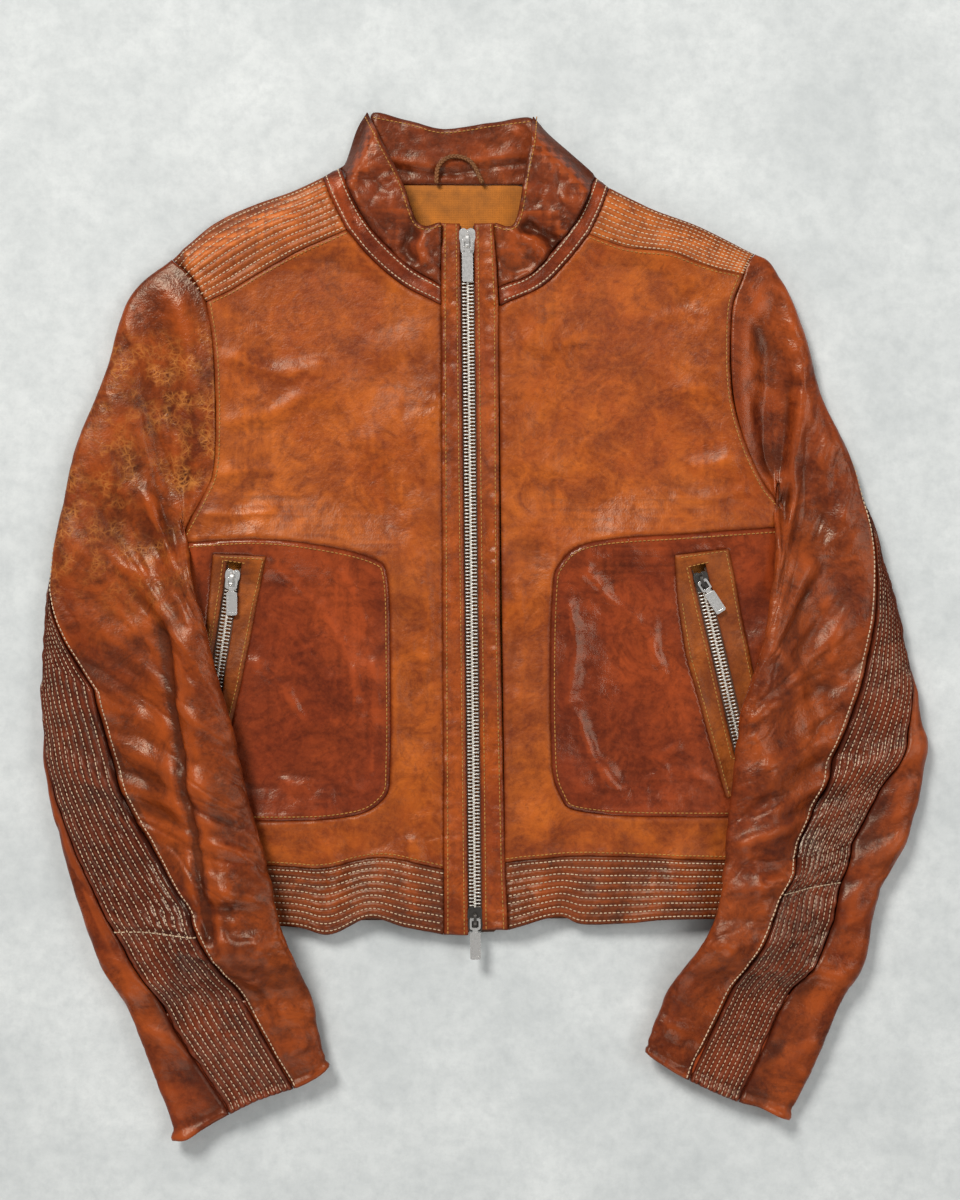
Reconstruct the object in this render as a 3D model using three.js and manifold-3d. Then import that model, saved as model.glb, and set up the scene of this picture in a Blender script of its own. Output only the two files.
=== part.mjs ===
// A leather riding jacket lying zipped up and flat on its back, sleeves along its sides.
// Millimetres. +Z is up from the surface it lies on, +Y runs from hem to collar, +X is the wearer's left.
// The origin is at the middle of the footprint, on the surface.
import * as THREE from "three";
import { mergeVertices } from "three/addons/utils/BufferGeometryUtils.js";
import Module from "manifold-3d";

const wasm = await Module();
wasm.setup();

// Thicknesses and the levels of the stacked layers
const LEATHER = 1.6;
const LINING = 0.6;
const SEAM = 0.2; // each panel stops this far short of its seam line
const BACK_LINING_Z = 1.9;
const FRONT_LINING_Z = 7.6;
const POCKET_BAG_Z = 8.5;
const POCKET_BAG = 0.8;
const FRONT_TOP = 14.4; // outer face of the front, level all over its middle
const EDGE_TOP = 5; // outer face of the front where it folds round at the sides and shoulders
const CHAIN_Z = FRONT_TOP - 2.2; // middle of the zip chains
const COLLAR_RISE = 7; // how far the collar's free edge stands above the front

// Body outline
const SIDE_X = 228;
const SIDE_RIM = 11;
const SHOULDER_RIM = 20;
const ARMPIT_NOTCH = 22; // radius cut out of the front at the armpit, where the sleeve passes over

// Sleeves
const SLEEVE_LIFT = 21.2; // a sleeve lying on the body clears the front and its pocket zip
const CUFF_LIFT = 4.2; // the under side stands off the surface by this much at the cuff zip
const FLOOR_GAP = 0.4;
const ARM_BLEND = 0.18;
const CUFF_BLEND = 0.1;

// Zips
const WINDOW = 7.2; // half the gap between the plackets
const MAIN_TOP = new THREE.Vector2(-11.6, 298.5);
const MAIN_FOOT = new THREE.Vector2(-5.6, -217);

const COLOURS = {
  front: 0xb45e2a,
  pocket: 0x8a3c21,
  sleeve: 0x94491f,
  quilt: 0x76432f,
  trim: 0x7c3828,
  collar: 0x6b3828,
  yoke: 0xb0764a,
  hem: 0x81452a,
  welt: 0x915220,
  placket: 0x904c34,
  lining: 0xae631d,
  tape: 0x3a241a,
  steel: 0xb9b9b6,
  gunmetal: 0x4c4a48,
};

// Seam lines of each side, from hand-placed points. Each runs the way its name's comment says.
const SEAMS = {
  right: {
    shoulder: [[-234, 276], [-203, 303], [-172, 318], [-141, 328], [-120, 338]], // arm to neck
    bandHigh: [[-120, 338], [-114, 322], [-102, 297]], // neck band's outer seam, shoulder to yoke
    bandLow: [[-102, 297], [-84, 276], [-60, 256], [-31, 241]], // yoke to placket
    bandInner: [[-107, 346], [-100, 327], [-87, 303], [-73, 286], [-53, 268], [-31, 255]],
    yokeFoot: [[-102, 297], [-132, 284], [-160, 270], [-187, 254], [-207, 243]], // neck to arm
    armTop: [[-207, 243], [-218, 262], [-234, 276]],
    armLow: [[-225, 69], [-210, 97], [-201, 124], [-201, 196], [-207, 243]],
    pocket: [[-226, 62], [-170, 65], [-121, 60], [-81, 50], [-71, 36], [-69, -18], [-69, -100],
      [-75, -131], [-113, -145], [-228, -146]],
    hemTop: [[-227, -176], [-146, -181], [-119, -182], [-76, -174], [-29, -183]], // side to placket
    hemFoot: [[-219, -224], [-144, -226], [-115, -232], [-85, -219], [-58, -226], [-29, -232]],
    placket: [[-31, 302], [-31, 241], [-29, -183], [-29, -232]], // collar to hem
    collarLeaf: [[-31, 302], [-48, 302], [-60, 333], [-75, 362], [-87, 388]],
    collarSide: [[-87, 388], [-95, 374], [-103, 350], [-107, 346]],
    welt: [[-202, 54], [-162, 52], [-169, 20], [-181, -43], [-201, -123], [-222, -123], [-207, 2]],
    bag: [[-205, 48], [-80, 44], [-76, -60], [-92, -132], [-205, -134]],
    pocketZip: { from: [-187, 42], to: [-207, -91], yaw: 8.8 },
    cuffZip: { from: [-178, -352], to: [-193, -301.5] },
  },
  left: {
    shoulder: [[205, 280], [184, 291], [160, 302], [126, 314], [95, 330]],
    bandHigh: [[95, 330], [88.4, 312.6], [80, 294]],
    bandLow: [[80, 294], [63, 273], [43, 254], [13, 240]],
    bandInner: [[85, 339], [79, 322], [69, 302], [51, 279], [33, 262], [12, 254]],
    yokeFoot: [[80, 294], [109, 284], [142, 280], [167, 271], [196, 264]],
    armTop: [[196, 264], [199, 273], [205, 280]],
    armLow: [[225, 90], [211, 107], [196, 140], [187, 180], [187, 236], [196, 264]],
    pocket: [[225, 74], [155, 69], [83, 63], [58, 47], [52, 20], [51, -78], [57, -125],
      [86, -141], [228, -144]],
    hemTop: [[226, -176], [178, -176], [88, -173], [43, -175], [17, -178]],
    hemFoot: [[220, -220], [140, -220], [111, -223], [75, -224], [56, -218], [19, -228]],
    placket: [[9, 302], [12, 240], [13, 6], [17, -178], [19, -228]],
    collarLeaf: [[9, 302], [24, 302], [32, 342], [36, 362], [38, 385]],
    collarSide: [[38, 385], [49, 372], [65, 358], [82, 343], [85, 339]],
    welt: [[144, 53], [185, 58], [201, -24], [222, -129], [183, -129], [164, -61], [153, -22], [147, 17]],
    bag: [[205, 52], [70, 48], [62, -60], [80, -130], [205, -132]],
    pocketZip: { from: [163, 40], to: [194, -92], yaw: 19.5 },
    cuffZip: { from: [176, -347], to: [197.7, -295.4] },
  },
};

const SLEEVES = {
  right: {
    outer: [[-234, 276], [-264, 248], [-281, 196], [-306, 132], [-323, 50], [-330, -8], [-330, -56],
      [-325, -123], [-305, -200], [-288, -249], [-264, -292], [-237, -363], [-231, -388]],
    inner: [[-225, 69], [-229, 58], [-226, 44], [-217, 31], [-205, -8], [-192, -54], [-177, -113],
      [-159, -180], [-150, -218], [-130, -276], [-120, -330]],
    cuff: [[-120, -330], [-118, -335], [-135, -346], [-171, -358], [-207, -378], [-220, -386], [-231, -388]],
    armpitY: 68,
    rows: 20,
    // The quilted strip's two seams: how far along the sleeve, and how far round it in half turns
    quiltInner: [[0, 1.3], [0.2, 1.15], [0.38, 0.97], [0.46, 0.66], [0.58, 0.6], [0.72, 0.47],
      [0.83, 0.43], [1, 0.33]],
    quiltOuter: [[0, 1.55], [0.2, 1.45], [0.38, 1.2], [0.52, 0.97], [0.64, 0.86], [0.76, 0.75],
      [0.88, 0.7], [1, 0.59]],
  },
  left: {
    outer: [[205, 280], [216, 273], [229, 248], [242, 211], [255, 172], [276, 125], [305, 38],
      [318, -13], [329, -70], [333, -87], [330, -112], [318, -160], [297, -200], [285, -254],
      [268, -285], [242, -345], [228, -372]],
    inner: [[225, 90], [229, 80], [227, 66], [220, 51], [211, -2], [192, -68], [183, -131],
      [177, -193], [167, -227], [145, -263], [129, -302], [126, -319]],
    cuff: [[126, -319], [126, -324], [150, -340], [190, -358], [208, -363], [228, -372]],
    armpitY: 90,
    rows: 21,
    quiltInner: [[0, 1.25], [0.2, 1.1], [0.32, 0.93], [0.42, 0.74], [0.54, 0.53], [0.64, 0.45],
      [0.8, 0.4], [1, 0.39]],
    quiltOuter: [[0, 1.5], [0.2, 1.35], [0.32, 1.15], [0.5, 0.92], [0.6, 0.7], [0.66, 0.63],
      [0.76, 0.68], [0.88, 0.61], [1, 0.61]],
  },
};

// ---- geometry helpers -------------------------------------------------------------------------

const clamp01 = (value) => Math.min(1, Math.max(0, value));
const smooth = (value) => clamp01(value) ** 2 * (3 - 2 * clamp01(value));
const mix = (a, b, share) => a + (b - a) * share;

// A smooth line through plan points, as count + 1 points.
function curve(points, count = 3 * (points.length - 1)) {
  const spline = new THREE.SplineCurve(points.map(([x, y]) => new THREE.Vector2(x, y)));
  return spline.getSpacedPoints(count);
}

const straight = (points) => points.map(([x, y]) => new THREE.Vector2(x, y));
const backwards = (line) => [...line].reverse();

// One closed outline from lines that follow each other.
function outline(...lines) {
  const points = [];
  for (const point of lines.flat()) {
    if (!points.length || point.distanceTo(points.at(-1)) > 0.6) points.push(point);
  }
  if (points[0].distanceTo(points.at(-1)) < 0.6) points.pop();
  return points;
}

// The outline moved inwards by a distance (outwards if it is negative).
function inset(points, distance) {
  const turn = THREE.ShapeUtils.area(points) > 0 ? 1 : -1;
  return points.map((point, i) => {
    const before = points.at(i - 1);
    const after = points[(i + 1) % points.length];
    const into = point.clone().sub(before).normalize();
    const outOf = after.clone().sub(point).normalize();
    const normal = new THREE.Vector2(-into.y - outOf.y, into.x + outOf.x).normalize();
    const spread = Math.max(0.4, normal.x * -into.y + normal.y * into.x);
    return point.clone().addScaledVector(normal, (turn * distance) / spread);
  });
}

function toSolid(geometry) {
  const bare = geometry.clone();
  bare.deleteAttribute("normal");
  bare.deleteAttribute("uv");
  const merged = mergeVertices(bare, 1e-4);
  return new wasm.Manifold(
    new wasm.Mesh({
      numProp: 3,
      vertProperties: merged.attributes.position.array,
      triVerts: new Uint32Array(merged.index.array),
    }),
  );
}

function toGeometry(solid) {
  const mesh = solid.getMesh();
  const geometry = new THREE.BufferGeometry();
  geometry.setAttribute("position", new THREE.BufferAttribute(mesh.vertProperties, 3));
  geometry.setIndex(new THREE.BufferAttribute(mesh.triVerts, 1));
  geometry.computeVertexNormals();
  return geometry;
}

// A cut can leave a sliver behind at a sharp corner, so only the largest piece is kept.
function largestPiece(solid) {
  return solid.decompose().reduce((best, next) => (next.volume() > best.volume() ? next : best));
}

// A flat plate of the outline's shape from z = low to z = high.
function plate(points, low, high, holes = []) {
  const shape = new THREE.Shape(points);
  shape.holes = holes.map((hole) => new THREE.Path(hole));
  const geometry = new THREE.ExtrudeGeometry(shape, { depth: high - low, bevelEnabled: false });
  return geometry.translate(0, 0, low);
}

function box(x0, x1, y0, y1, z0, z1) {
  const geometry = new THREE.BoxGeometry(x1 - x0, y1 - y0, z1 - z0);
  return geometry.translate((x0 + x1) / 2, (y0 + y1) / 2, (z0 + z1) / 2);
}

function union(...geometries) {
  return toGeometry(geometries.map(toSolid).reduce((sum, next) => sum.add(next)));
}

// A closed skin between an outer and an inner surface, each a function of (u, v) from 0 to 1.
function skin(rows, columns, outerAt, innerAt) {
  const across = columns + 1;
  const layer = (rows + 1) * across;
  const positions = [];
  for (const surface of [outerAt, innerAt]) {
    for (let i = 0; i <= rows; i++) {
      for (let j = 0; j < across; j++) positions.push(...surface(i / rows, j / columns));
    }
  }
  const index = [];
  const at = (i, j) => i * across + j;
  const quad = (a, b, c, d) => index.push(a, b, c, a, c, d);
  for (let i = 0; i < rows; i++) {
    for (let j = 0; j < columns; j++) {
      const corners = [at(i, j), at(i + 1, j), at(i + 1, j + 1), at(i, j + 1)];
      quad(...corners);
      quad(...corners.reverse().map((corner) => corner + layer));
    }
  }
  for (let j = 0; j < columns; j++) {
    quad(at(0, j), at(0, j + 1), layer + at(0, j + 1), layer + at(0, j));
    quad(at(rows, j + 1), at(rows, j), layer + at(rows, j), layer + at(rows, j + 1));
  }
  for (let i = 0; i < rows; i++) {
    quad(at(i + 1, 0), at(i, 0), layer + at(i, 0), layer + at(i + 1, 0));
    quad(at(i, columns), at(i + 1, columns), layer + at(i + 1, columns), layer + at(i, columns));
  }
  const geometry = new THREE.BufferGeometry();
  geometry.setAttribute("position", new THREE.Float32BufferAttribute(positions, 3));
  geometry.setIndex(index);
  return facingOut(geometry);
}

// Turns every face round if the closed mesh is inside out.
function facingOut(geometry) {
  const position = geometry.attributes.position;
  const index = geometry.index.array;
  const [a, b, c] = [new THREE.Vector3(), new THREE.Vector3(), new THREE.Vector3()];
  let volume = 0;
  for (let i = 0; i < index.length; i += 3) {
    [a, b, c].forEach((corner, k) => corner.fromBufferAttribute(position, index[i + k]));
    volume += a.dot(b.cross(c));
  }
  if (volume < 0) index.reverse();
  geometry.computeVertexNormals();
  return geometry;
}

const jacket = new THREE.Group();

function addPart(name, geometry, colour, parent = jacket, metalness = 0) {
  const roughness = metalness ? 0.35 : 0.55;
  const material = new THREE.MeshStandardMaterial({ color: COLOURS[colour], roughness, metalness });
  const mesh = new THREE.Mesh(geometry, material);
  mesh.name = name;
  parent.add(mesh);
}

// ---- body -------------------------------------------------------------------------------------

// How far a plan point is inside the line from a to b, on the side of the inner point.
function inside(x, y, [ax, ay], [bx, by]) {
  const length = Math.hypot(bx - ax, by - ay);
  return Math.abs(((x - ax) * (by - ay) - (y - ay) * (bx - ax)) / length);
}

// Height of the front's outer face: level, and rounding down to the side seams and shoulders.
function frontTop(x, y) {
  const seams = SEAMS[x < 0 ? "right" : "left"];
  const [arm, neck] = [seams.shoulder[0], seams.shoulder.at(-1)];
  const lineY = mix(arm[1], neck[1], clamp01((x - arm[0]) / (neck[0] - arm[0])));
  const fromShoulder = y < lineY ? inside(x, y, arm, neck) : 0;
  const onShoulder = Math.abs(x) > Math.abs(neck[0]) - 30;
  const shoulder = onShoulder ? fromShoulder / SHOULDER_RIM : 1;
  const rim = clamp01(Math.min((SIDE_X - Math.abs(x)) / SIDE_RIM, shoulder));
  return mix(EDGE_TOP, FRONT_TOP, Math.sin((rim * Math.PI) / 2));
}

// Height of the front collar: it stands up towards its free edge and folds down at its outer side.
function collarTop(x, y) {
  const side = SEAMS[x < -10 ? "right" : "left"].collarSide;
  const fold = smooth(inside(x, y, side[0], side.at(-1)) / 16);
  return mix(EDGE_TOP + 0.4, FRONT_TOP + COLLAR_RISE * smooth((y - 262) / 60), fold);
}

// A layer of leather under a height function, over a grid of x and y values.
function layer(xs, ys, topAt) {
  const at = (u, v) => [xs[Math.round(u * (xs.length - 1))], ys[Math.round(v * (ys.length - 1))]];
  const outerAt = (u, v) => [...at(u, v), topAt(...at(u, v))];
  const innerAt = (u, v) => [...at(u, v), topAt(...at(u, v)) - LEATHER];
  return toSolid(skin(xs.length - 1, ys.length - 1, outerAt, innerAt));
}

const steps = (from, to, count) => Array.from({ length: count + 1 }, (_, i) => mix(from, to, i / count));
const rimSteps = [SIDE_X - SIDE_RIM, SIDE_X - SIDE_RIM / 2, SIDE_X - 2, SIDE_X + 8];
const bodyX = [...rimSteps.map((x) => -x).reverse(), ...steps(-205, 205, 19), ...rimSteps];
const frontLayer = layer(bodyX, steps(-238, 352, 22), frontTop);
const collarLayer = layer(steps(-112, 92, 18), steps(240, 392, 15), collarTop);

const cutFrom = (layerSolid, points, ...removed) => {
  let solid = layerSolid.intersect(toSolid(plate(inset(points, SEAM), -5, 50)));
  for (const hole of removed) solid = solid.subtract(toSolid(plate(hole, -5, 50)));
  return toGeometry(largestPiece(solid).asOriginal().simplify(0.04));
};

const mainX = (y) => mix(MAIN_TOP.x, MAIN_FOOT.x, (MAIN_TOP.y - y) / (MAIN_TOP.y - MAIN_FOOT.y));

// The slot in the leather that a pocket or cuff chain shows through.
function slotOf({ from, to }, halfWidth, before, after) {
  const [start, end] = straight([from, to]);
  const along = end.clone().sub(start).normalize();
  const across = new THREE.Vector2(-along.y, along.x).multiplyScalar(halfWidth);
  start.addScaledVector(along, -before);
  end.addScaledVector(along, after);
  return [
    start.clone().add(across),
    start.clone().sub(across),
    end.clone().sub(across),
    end.clone().add(across),
  ];
}

const sides = {};
for (const [side, seams] of Object.entries(SEAMS)) {
  const sign = side === "right" ? -1 : 1;
  const name = (words) => `${words}_${side}`;
  const line = Object.fromEntries(
    Object.entries(seams)
      .filter(([key]) => !key.endsWith("Zip"))
      .map(([key, points]) => [key, curve(points)]),
  );
  const corner = (points, index) => straight([points.at(index)]);
  const front = outline(
    line.bandLow,
    straight(seams.placket.slice(1, 2)),
    backwards(line.hemTop),
    backwards(line.pocket),
    line.armLow,
    backwards(line.yokeFoot),
  );
  const notchOf = (radius) =>
    new THREE.EllipseCurve(sign * (SIDE_X + 1), seams.armLow[0][1] - 9, radius, radius).getPoints(24).slice(1);
  addPart(name("front_panel"), cutFrom(frontLayer, front, notchOf(ARMPIT_NOTCH + 8)), "front");

  const pocketSlot = slotOf(seams.pocketZip, 6.2, 6, 6);
  const weltLine = straight(seams.welt);
  const pocket = outline(line.pocket);
  addPart(name("pocket_panel"), cutFrom(frontLayer, pocket, inset(weltLine, -SEAM), notchOf(ARMPIT_NOTCH)), "pocket");
  addPart(name("pocket_welt"), cutFrom(frontLayer, weltLine, pocketSlot), "welt");
  addPart(name("pocket_bag"), plate(curve(seams.bag, 16), POCKET_BAG_Z, POCKET_BAG_Z + POCKET_BAG), "lining");

  const yoke = outline(line.shoulder, line.bandHigh, line.yokeFoot, line.armTop);
  addPart(name("shoulder_yoke"), cutFrom(frontLayer, yoke), "yoke");

  const band = outline(line.bandHigh, line.bandLow, backwards(line.bandInner));
  addPart(name("neck_band"), cutFrom(frontLayer, band), "trim");

  const hem = outline(line.hemTop, corner(seams.placket, -1), backwards(line.hemFoot));
  addPart(name("hem_band"), cutFrom(frontLayer, hem), "hem");

  const windowEdge = [seams.placket.at(-1)[1], 302].map(
    (y) => new THREE.Vector2(mainX(y) + sign * WINDOW, y),
  );
  const placket = outline(straight(seams.placket), windowEdge);
  addPart(name("placket"), cutFrom(frontLayer, placket), "placket");

  const collar = outline(line.bandInner, line.collarLeaf, line.collarSide);
  addPart(name("collar"), cutFrom(collarLayer, collar), "collar");

  const liningLine = [
    [sign * 22, -208],
    [sign * 205, -208],
    [sign * 205, 90],
    [sign * 180, 150],
    [sign * 178, 250],
    [sign * 100, 275],
    [sign * 22, 225],
  ].map(([x, y]) => [x + (Math.abs(x) < 30 ? -8 : 0), y]);
  const frontLining = plate(straight(liningLine), FRONT_LINING_Z, FRONT_LINING_Z + LINING);
  addPart(name("front_lining"), frontLining, "lining");
  sides[side] = line;
}

const { right, left } = sides;
const acrossBack = [
  ...right.shoulder,
  ...straight([[-112, 338], [-60, 333], [26, 333], [88, 333]]),
  ...backwards(left.shoulder),
];
const backPanel = outline(
  acrossBack,
  backwards(left.armTop),
  backwards(left.armLow),
  straight([[228, -18], [226, -176], [-227, -176], [-228, -18]]),
  right.armLow,
  right.armTop,
);
addPart("back_panel", plate(inset(backPanel, 2), 0, LEATHER), "front");
const hemBack = straight([[226, -176], [220, -220], [-219, -224], [-227, -176]]);
addPart("hem_band_back", plate(inset(hemBack, SEAM), 0, LEATHER), "hem");
const backLining = straight([[-60, 332], [-112, 322], [-198, 290], [-190, 240], [-186, 130], [-208, 70],
  [-212, -205], [212, -205], [208, 90], [176, 150], [176, 240], [182, 276], [88, 318], [26, 332]]);
addPart("back_lining", plate(backLining, BACK_LINING_Z, BACK_LINING_Z + LINING), "lining");
const collarBack = straight([[-60, 333.4], [26, 333.4], [74, 334], [60, 356], [44, 371], [36, 384], [7, 380],
  [-29, 375], [-57, 382], [-84, 385], [-92, 370], [-98, 346], [-90, 338]]);
addPart("collar_back", plate(collarBack, 0, 2 * LEATHER), "collar");

// Braided cord loop, sewn down at both ends inside the back of the neck
function hangerLoop() {
  const z = 2 * LEATHER + 2.1;
  const points = [[-35, 334], [-33, 347], [-23, 354], [-9, 350], [0, 334]];
  const path = new THREE.CatmullRomCurve3(points.map(([x, y]) => new THREE.Vector3(x, y, z)));
  const section = new THREE.Shape().absarc(0, 0, 1.75, 0, 2 * Math.PI);
  return new THREE.ExtrudeGeometry(section, { steps: 14, curveSegments: 5, extrudePath: path });
}
addPart("hanger_loop", hangerLoop(), "welt");

// ---- sleeves ----------------------------------------------------------------------------------

const valueAt = (table, at) => {
  const next = table.findIndex(([key]) => key >= at - 1e-9);
  if (next <= 0) return table[Math.max(next, 0)][1];
  const [[x0, y0], [x1, y1]] = [table[next - 1], table[next]];
  return mix(y0, y1, (at - x0) / (x1 - x0));
};

// Sleeve surface of one side: s runs from armhole to cuff, turn is the angle round the flattened tube
// (0 at the inner edge, pi at the outer edge, over the top between), depth is how far inside its face.
function sleeveSurface(side) {
  const shape = SLEEVES[side];
  const seams = SEAMS[side];
  const lines = {
    outer: curve(shape.outer, 60),
    inner: curve(shape.inner, 60),
    arm: curve([...seams.armLow, ...seams.armTop.slice(1)], 60),
    cuff: curve(shape.cuff, 60),
  };
  const along = (key, share) => {
    const place = clamp01(share) * 60;
    const low = Math.min(59, Math.floor(place));
    return lines[key][low].clone().lerp(lines[key][low + 1], place - low);
  };
  const chordBulge = (key, end, across) => {
    const chord = along("inner", end).lerp(along("outer", end), across);
    return along(key, across).sub(chord);
  };
  return (s, turn, depth) => {
    const [inner, outer] = [along("inner", s), along("outer", s)];
    const width = inner.distanceTo(outer);
    const across = 0.5 - (Math.cos(turn) / 2) * (1 - (2 * depth) / width);
    const plan = inner.lerp(outer, across);
    plan.addScaledVector(chordBulge("arm", 0, across), clamp01(1 - s / ARM_BLEND) ** 2);
    plan.addScaledVector(chordBulge("cuff", 1, across), clamp01(1 - (1 - s) / CUFF_BLEND) ** 2);
    const overBody = smooth((SIDE_X + 30 - Math.abs(plan.x)) / 50);
    const belowArm = smooth((shape.armpitY - plan.y) / 34);
    const aboveHem = smooth((plan.y + 285) / 53);
    const lift = SLEEVE_LIFT * overBody * belowArm * aboveHem + CUFF_LIFT * smooth((s - 0.6) / 0.15);
    const thickness = FRONT_TOP - FLOOR_GAP + 3 * Math.sin(Math.PI * clamp01(s)) * clamp01(s * 4);
    const height = (thickness / 2 - depth) * Math.sign(Math.sin(turn)) * Math.abs(Math.sin(turn)) ** 0.6;
    return [plan.x, plan.y, FLOOR_GAP + lift + thickness / 2 + height];
  };
}

const SLEEVE_START = 0.004;
const SLEEVE_END = 0.997;
const TURN_GAP = 0.02; // radians left free each side of a lengthwise seam
const INNER_SEAM = -0.12; // the underarm seam, in half turns
const FACING_DEPTH = LEATHER + 2.6; // from the leather's face to the cuff facing's outer face

for (const side of ["right", "left"]) {
  const at = sleeveSurface(side);
  const shape = SLEEVES[side];
  const strip = (rows, columns, from, to, startDepth, thick, sFrom = SLEEVE_START, sTo = SLEEVE_END) => {
    const place = (depth) => (u, v) => {
      const s = mix(sFrom, sTo, u);
      const low = from(s) * Math.PI + TURN_GAP;
      const high = to(s) * Math.PI - TURN_GAP;
      return at(s, mix(low, high, v), depth);
    };
    return skin(rows, columns, place(startDepth), place(startDepth + thick));
  };
  const rows = shape.rows;
  const underarm = () => INNER_SEAM;
  const quiltInner = (s) => valueAt(shape.quiltInner, s);
  const quiltOuter = (s) => valueAt(shape.quiltOuter, s);
  const underarmAgain = () => 2 + INNER_SEAM;
  const front = strip(rows, 8, underarm, quiltInner, 0, LEATHER);
  addPart(`sleeve_front_${side}`, front, "sleeve");
  addPart(`sleeve_quilt_${side}`, strip(rows, 3, quiltInner, quiltOuter, 0, LEATHER), "quilt");
  const back = toSolid(strip(rows, 8, quiltOuter, underarmAgain, 0, LEATHER));
  const slot = plate(slotOf(SEAMS[side].cuffZip, 5.8, 20, 4), -5, 12);
  addPart(`sleeve_back_${side}`, toGeometry(back.subtract(toSolid(slot))), "sleeve");
  const facing = strip(3, 12, () => -0.2, () => 1.2, FACING_DEPTH, LINING, 0.86, 0.994);
  addPart(`cuff_facing_${side}`, facing, "trim");
}

// ---- zips -------------------------------------------------------------------------------------

// Sizes of a zip at scale 1. Its own axes: +Y to the slider's wide end, +Z out of the garment,
// z = 0 at the middle of the chain.
const TOOTH_IN = 0.6;
const TOOTH_OUT = 4.2;
const TOOTH_HALF = 1.3;
const TAPE_IN = 4.5;
const TAPE_HALF = 0.3;
const PLATE_LOW = 1.6;
const PLATE_HIGH = 2.8;
const BAR_Z = 3.9;
const BAR_R = 0.7;
const ARCH_WIDTH = 1.1;

function sliderBody(width, length) {
  const [w, l] = [width / 2, length / 2];
  const plan = new THREE.Shape();
  plan.moveTo(-w * 0.75, -l);
  plan.lineTo(w * 0.75, -l);
  plan.bezierCurveTo(w * 0.8, -l * 0.3, w, -l * 0.1, w, l * 0.3);
  plan.quadraticCurveTo(w, l, w * 0.5, l);
  plan.quadraticCurveTo(w * 0.2, l, 0, l * 0.8);
  plan.quadraticCurveTo(-w * 0.2, l, -w * 0.5, l);
  plan.quadraticCurveTo(-w, l, -w, l * 0.3);
  plan.bezierCurveTo(-w, -l * 0.1, -w * 0.8, -l * 0.3, -w * 0.75, -l);
  const options = { depth: PLATE_HIGH - PLATE_LOW, bevelEnabled: false, curveSegments: 4 };
  const face = new THREE.ExtrudeGeometry(plan, options);
  const flange = (sign, z) =>
    box(sign > 0 ? w - 1.2 : -w, sign > 0 ? w : -w + 1.2, l * 0.05, l * 0.6, z, z + 1);
  const arch = new THREE.Shape(
    straight([[-4.2, PLATE_HIGH - 0.1], [-3.6, 6.1], [3.6, 6.1], [4.2, PLATE_HIGH - 0.1],
      [3, PLATE_HIGH - 0.1], [2.7, 5], [-2.7, 5], [-3, PLATE_HIGH - 0.1]]),
  );
  const bridge = new THREE.ExtrudeGeometry(arch, { depth: 2 * ARCH_WIDTH, bevelEnabled: false });
  bridge.translate(0, 0, -ARCH_WIDTH).rotateY(Math.PI / 2).rotateX(Math.PI / 2);
  return union(
    face.clone().translate(0, 0, PLATE_LOW),
    face.clone().translate(0, 0, -PLATE_HIGH),
    box(-0.3, 0.3, l * 0.1, l * 0.7, -PLATE_LOW - 0.1, PLATE_LOW + 0.1),
    ...[-1, 1].flatMap((sign) => [flange(sign, 0.7), flange(sign, -1.7)]),
    bridge,
  );
}

// The pull: an eye round the bridge, and a flat tab. It points to -Y from its pivot at the origin.
function pullTab(length) {
  const plan = new THREE.Shape(
    straight([[-4, BAR_R], [4, BAR_R], [4, -7], [2.4, -8.6], [2.4, -9.6], [4, -10.6], [4, 1.5 - length],
      [2.8, -length], [-2.8, -length], [-4, 1.5 - length], [-4, -10.6], [-2.4, -9.6], [-2.4, -8.6], [-4, -7]]),
  );
  plan.holes = [new THREE.Path(straight([[-2.8, -BAR_R], [-2.8, -6.4], [2.8, -6.4], [2.8, -BAR_R]]))];
  const geometry = new THREE.ExtrudeGeometry(plan, { depth: 2 * BAR_R, bevelEnabled: false });
  return geometry.translate(0, 0, -BAR_R);
}

// A zip group whose local +Y points from its foot back to its head, with z = 0 at the chain.
function zipGroup(head, foot, z, scale, outwards = 1) {
  const group = new THREE.Group();
  const along = head.clone().sub(foot);
  const turn = Math.atan2(-along.x, along.y);
  group.position.set(head.x, head.y, z);
  group.rotation.set(0, outwards > 0 ? 0 : Math.PI, turn, "ZYX");
  group.scale.setScalar(scale);
  jacket.add(group);
  return group;
}

function addSlider(name, pullName, group, y, width, length, pull, look = {}) {
  const holder = new THREE.Group();
  holder.position.y = y;
  holder.rotation.z = look.reversed ? Math.PI : 0;
  group.add(holder);
  addPart(name, sliderBody(width, length), look.colour ?? "steel", holder, 1);
  const pivot = new THREE.Group();
  pivot.position.z = BAR_Z;
  pivot.rotation.z = look.yaw ?? 0;
  holder.add(pivot);
  addPart(pullName, pullTab(pull), "steel", pivot, 1);
}

const mainLength = MAIN_TOP.distanceTo(MAIN_FOOT);
const mainZip = zipGroup(MAIN_TOP, MAIN_FOOT, CHAIN_Z, 1);
for (const [side, sign] of [["right", -1], ["left", 1]]) {
  const strip = (inner, outer, top, foot, half) =>
    box(Math.min(sign * inner, sign * outer), Math.max(sign * inner, sign * outer), foot, top, -half, half);
  addPart(`main_tape_${side}`, strip(TAPE_IN, 15.5, 2, -mainLength - 13, TAPE_HALF), "tape", mainZip);
  addPart(`main_teeth_${side}`, strip(TOOTH_IN, TOOTH_OUT, -6, -mainLength + 2, TOOTH_HALF), "steel", mainZip, 1);
}
addSlider("main_slider_top", "main_pull_top", mainZip, -9.5, 12.4, 19, 31);
const bottomLook = { colour: "gunmetal", reversed: true, yaw: Math.PI };
addSlider("main_slider_bottom", "main_pull_bottom", mainZip, -3 - mainLength, 13.4, 18, 30, bottomLook);

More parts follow.
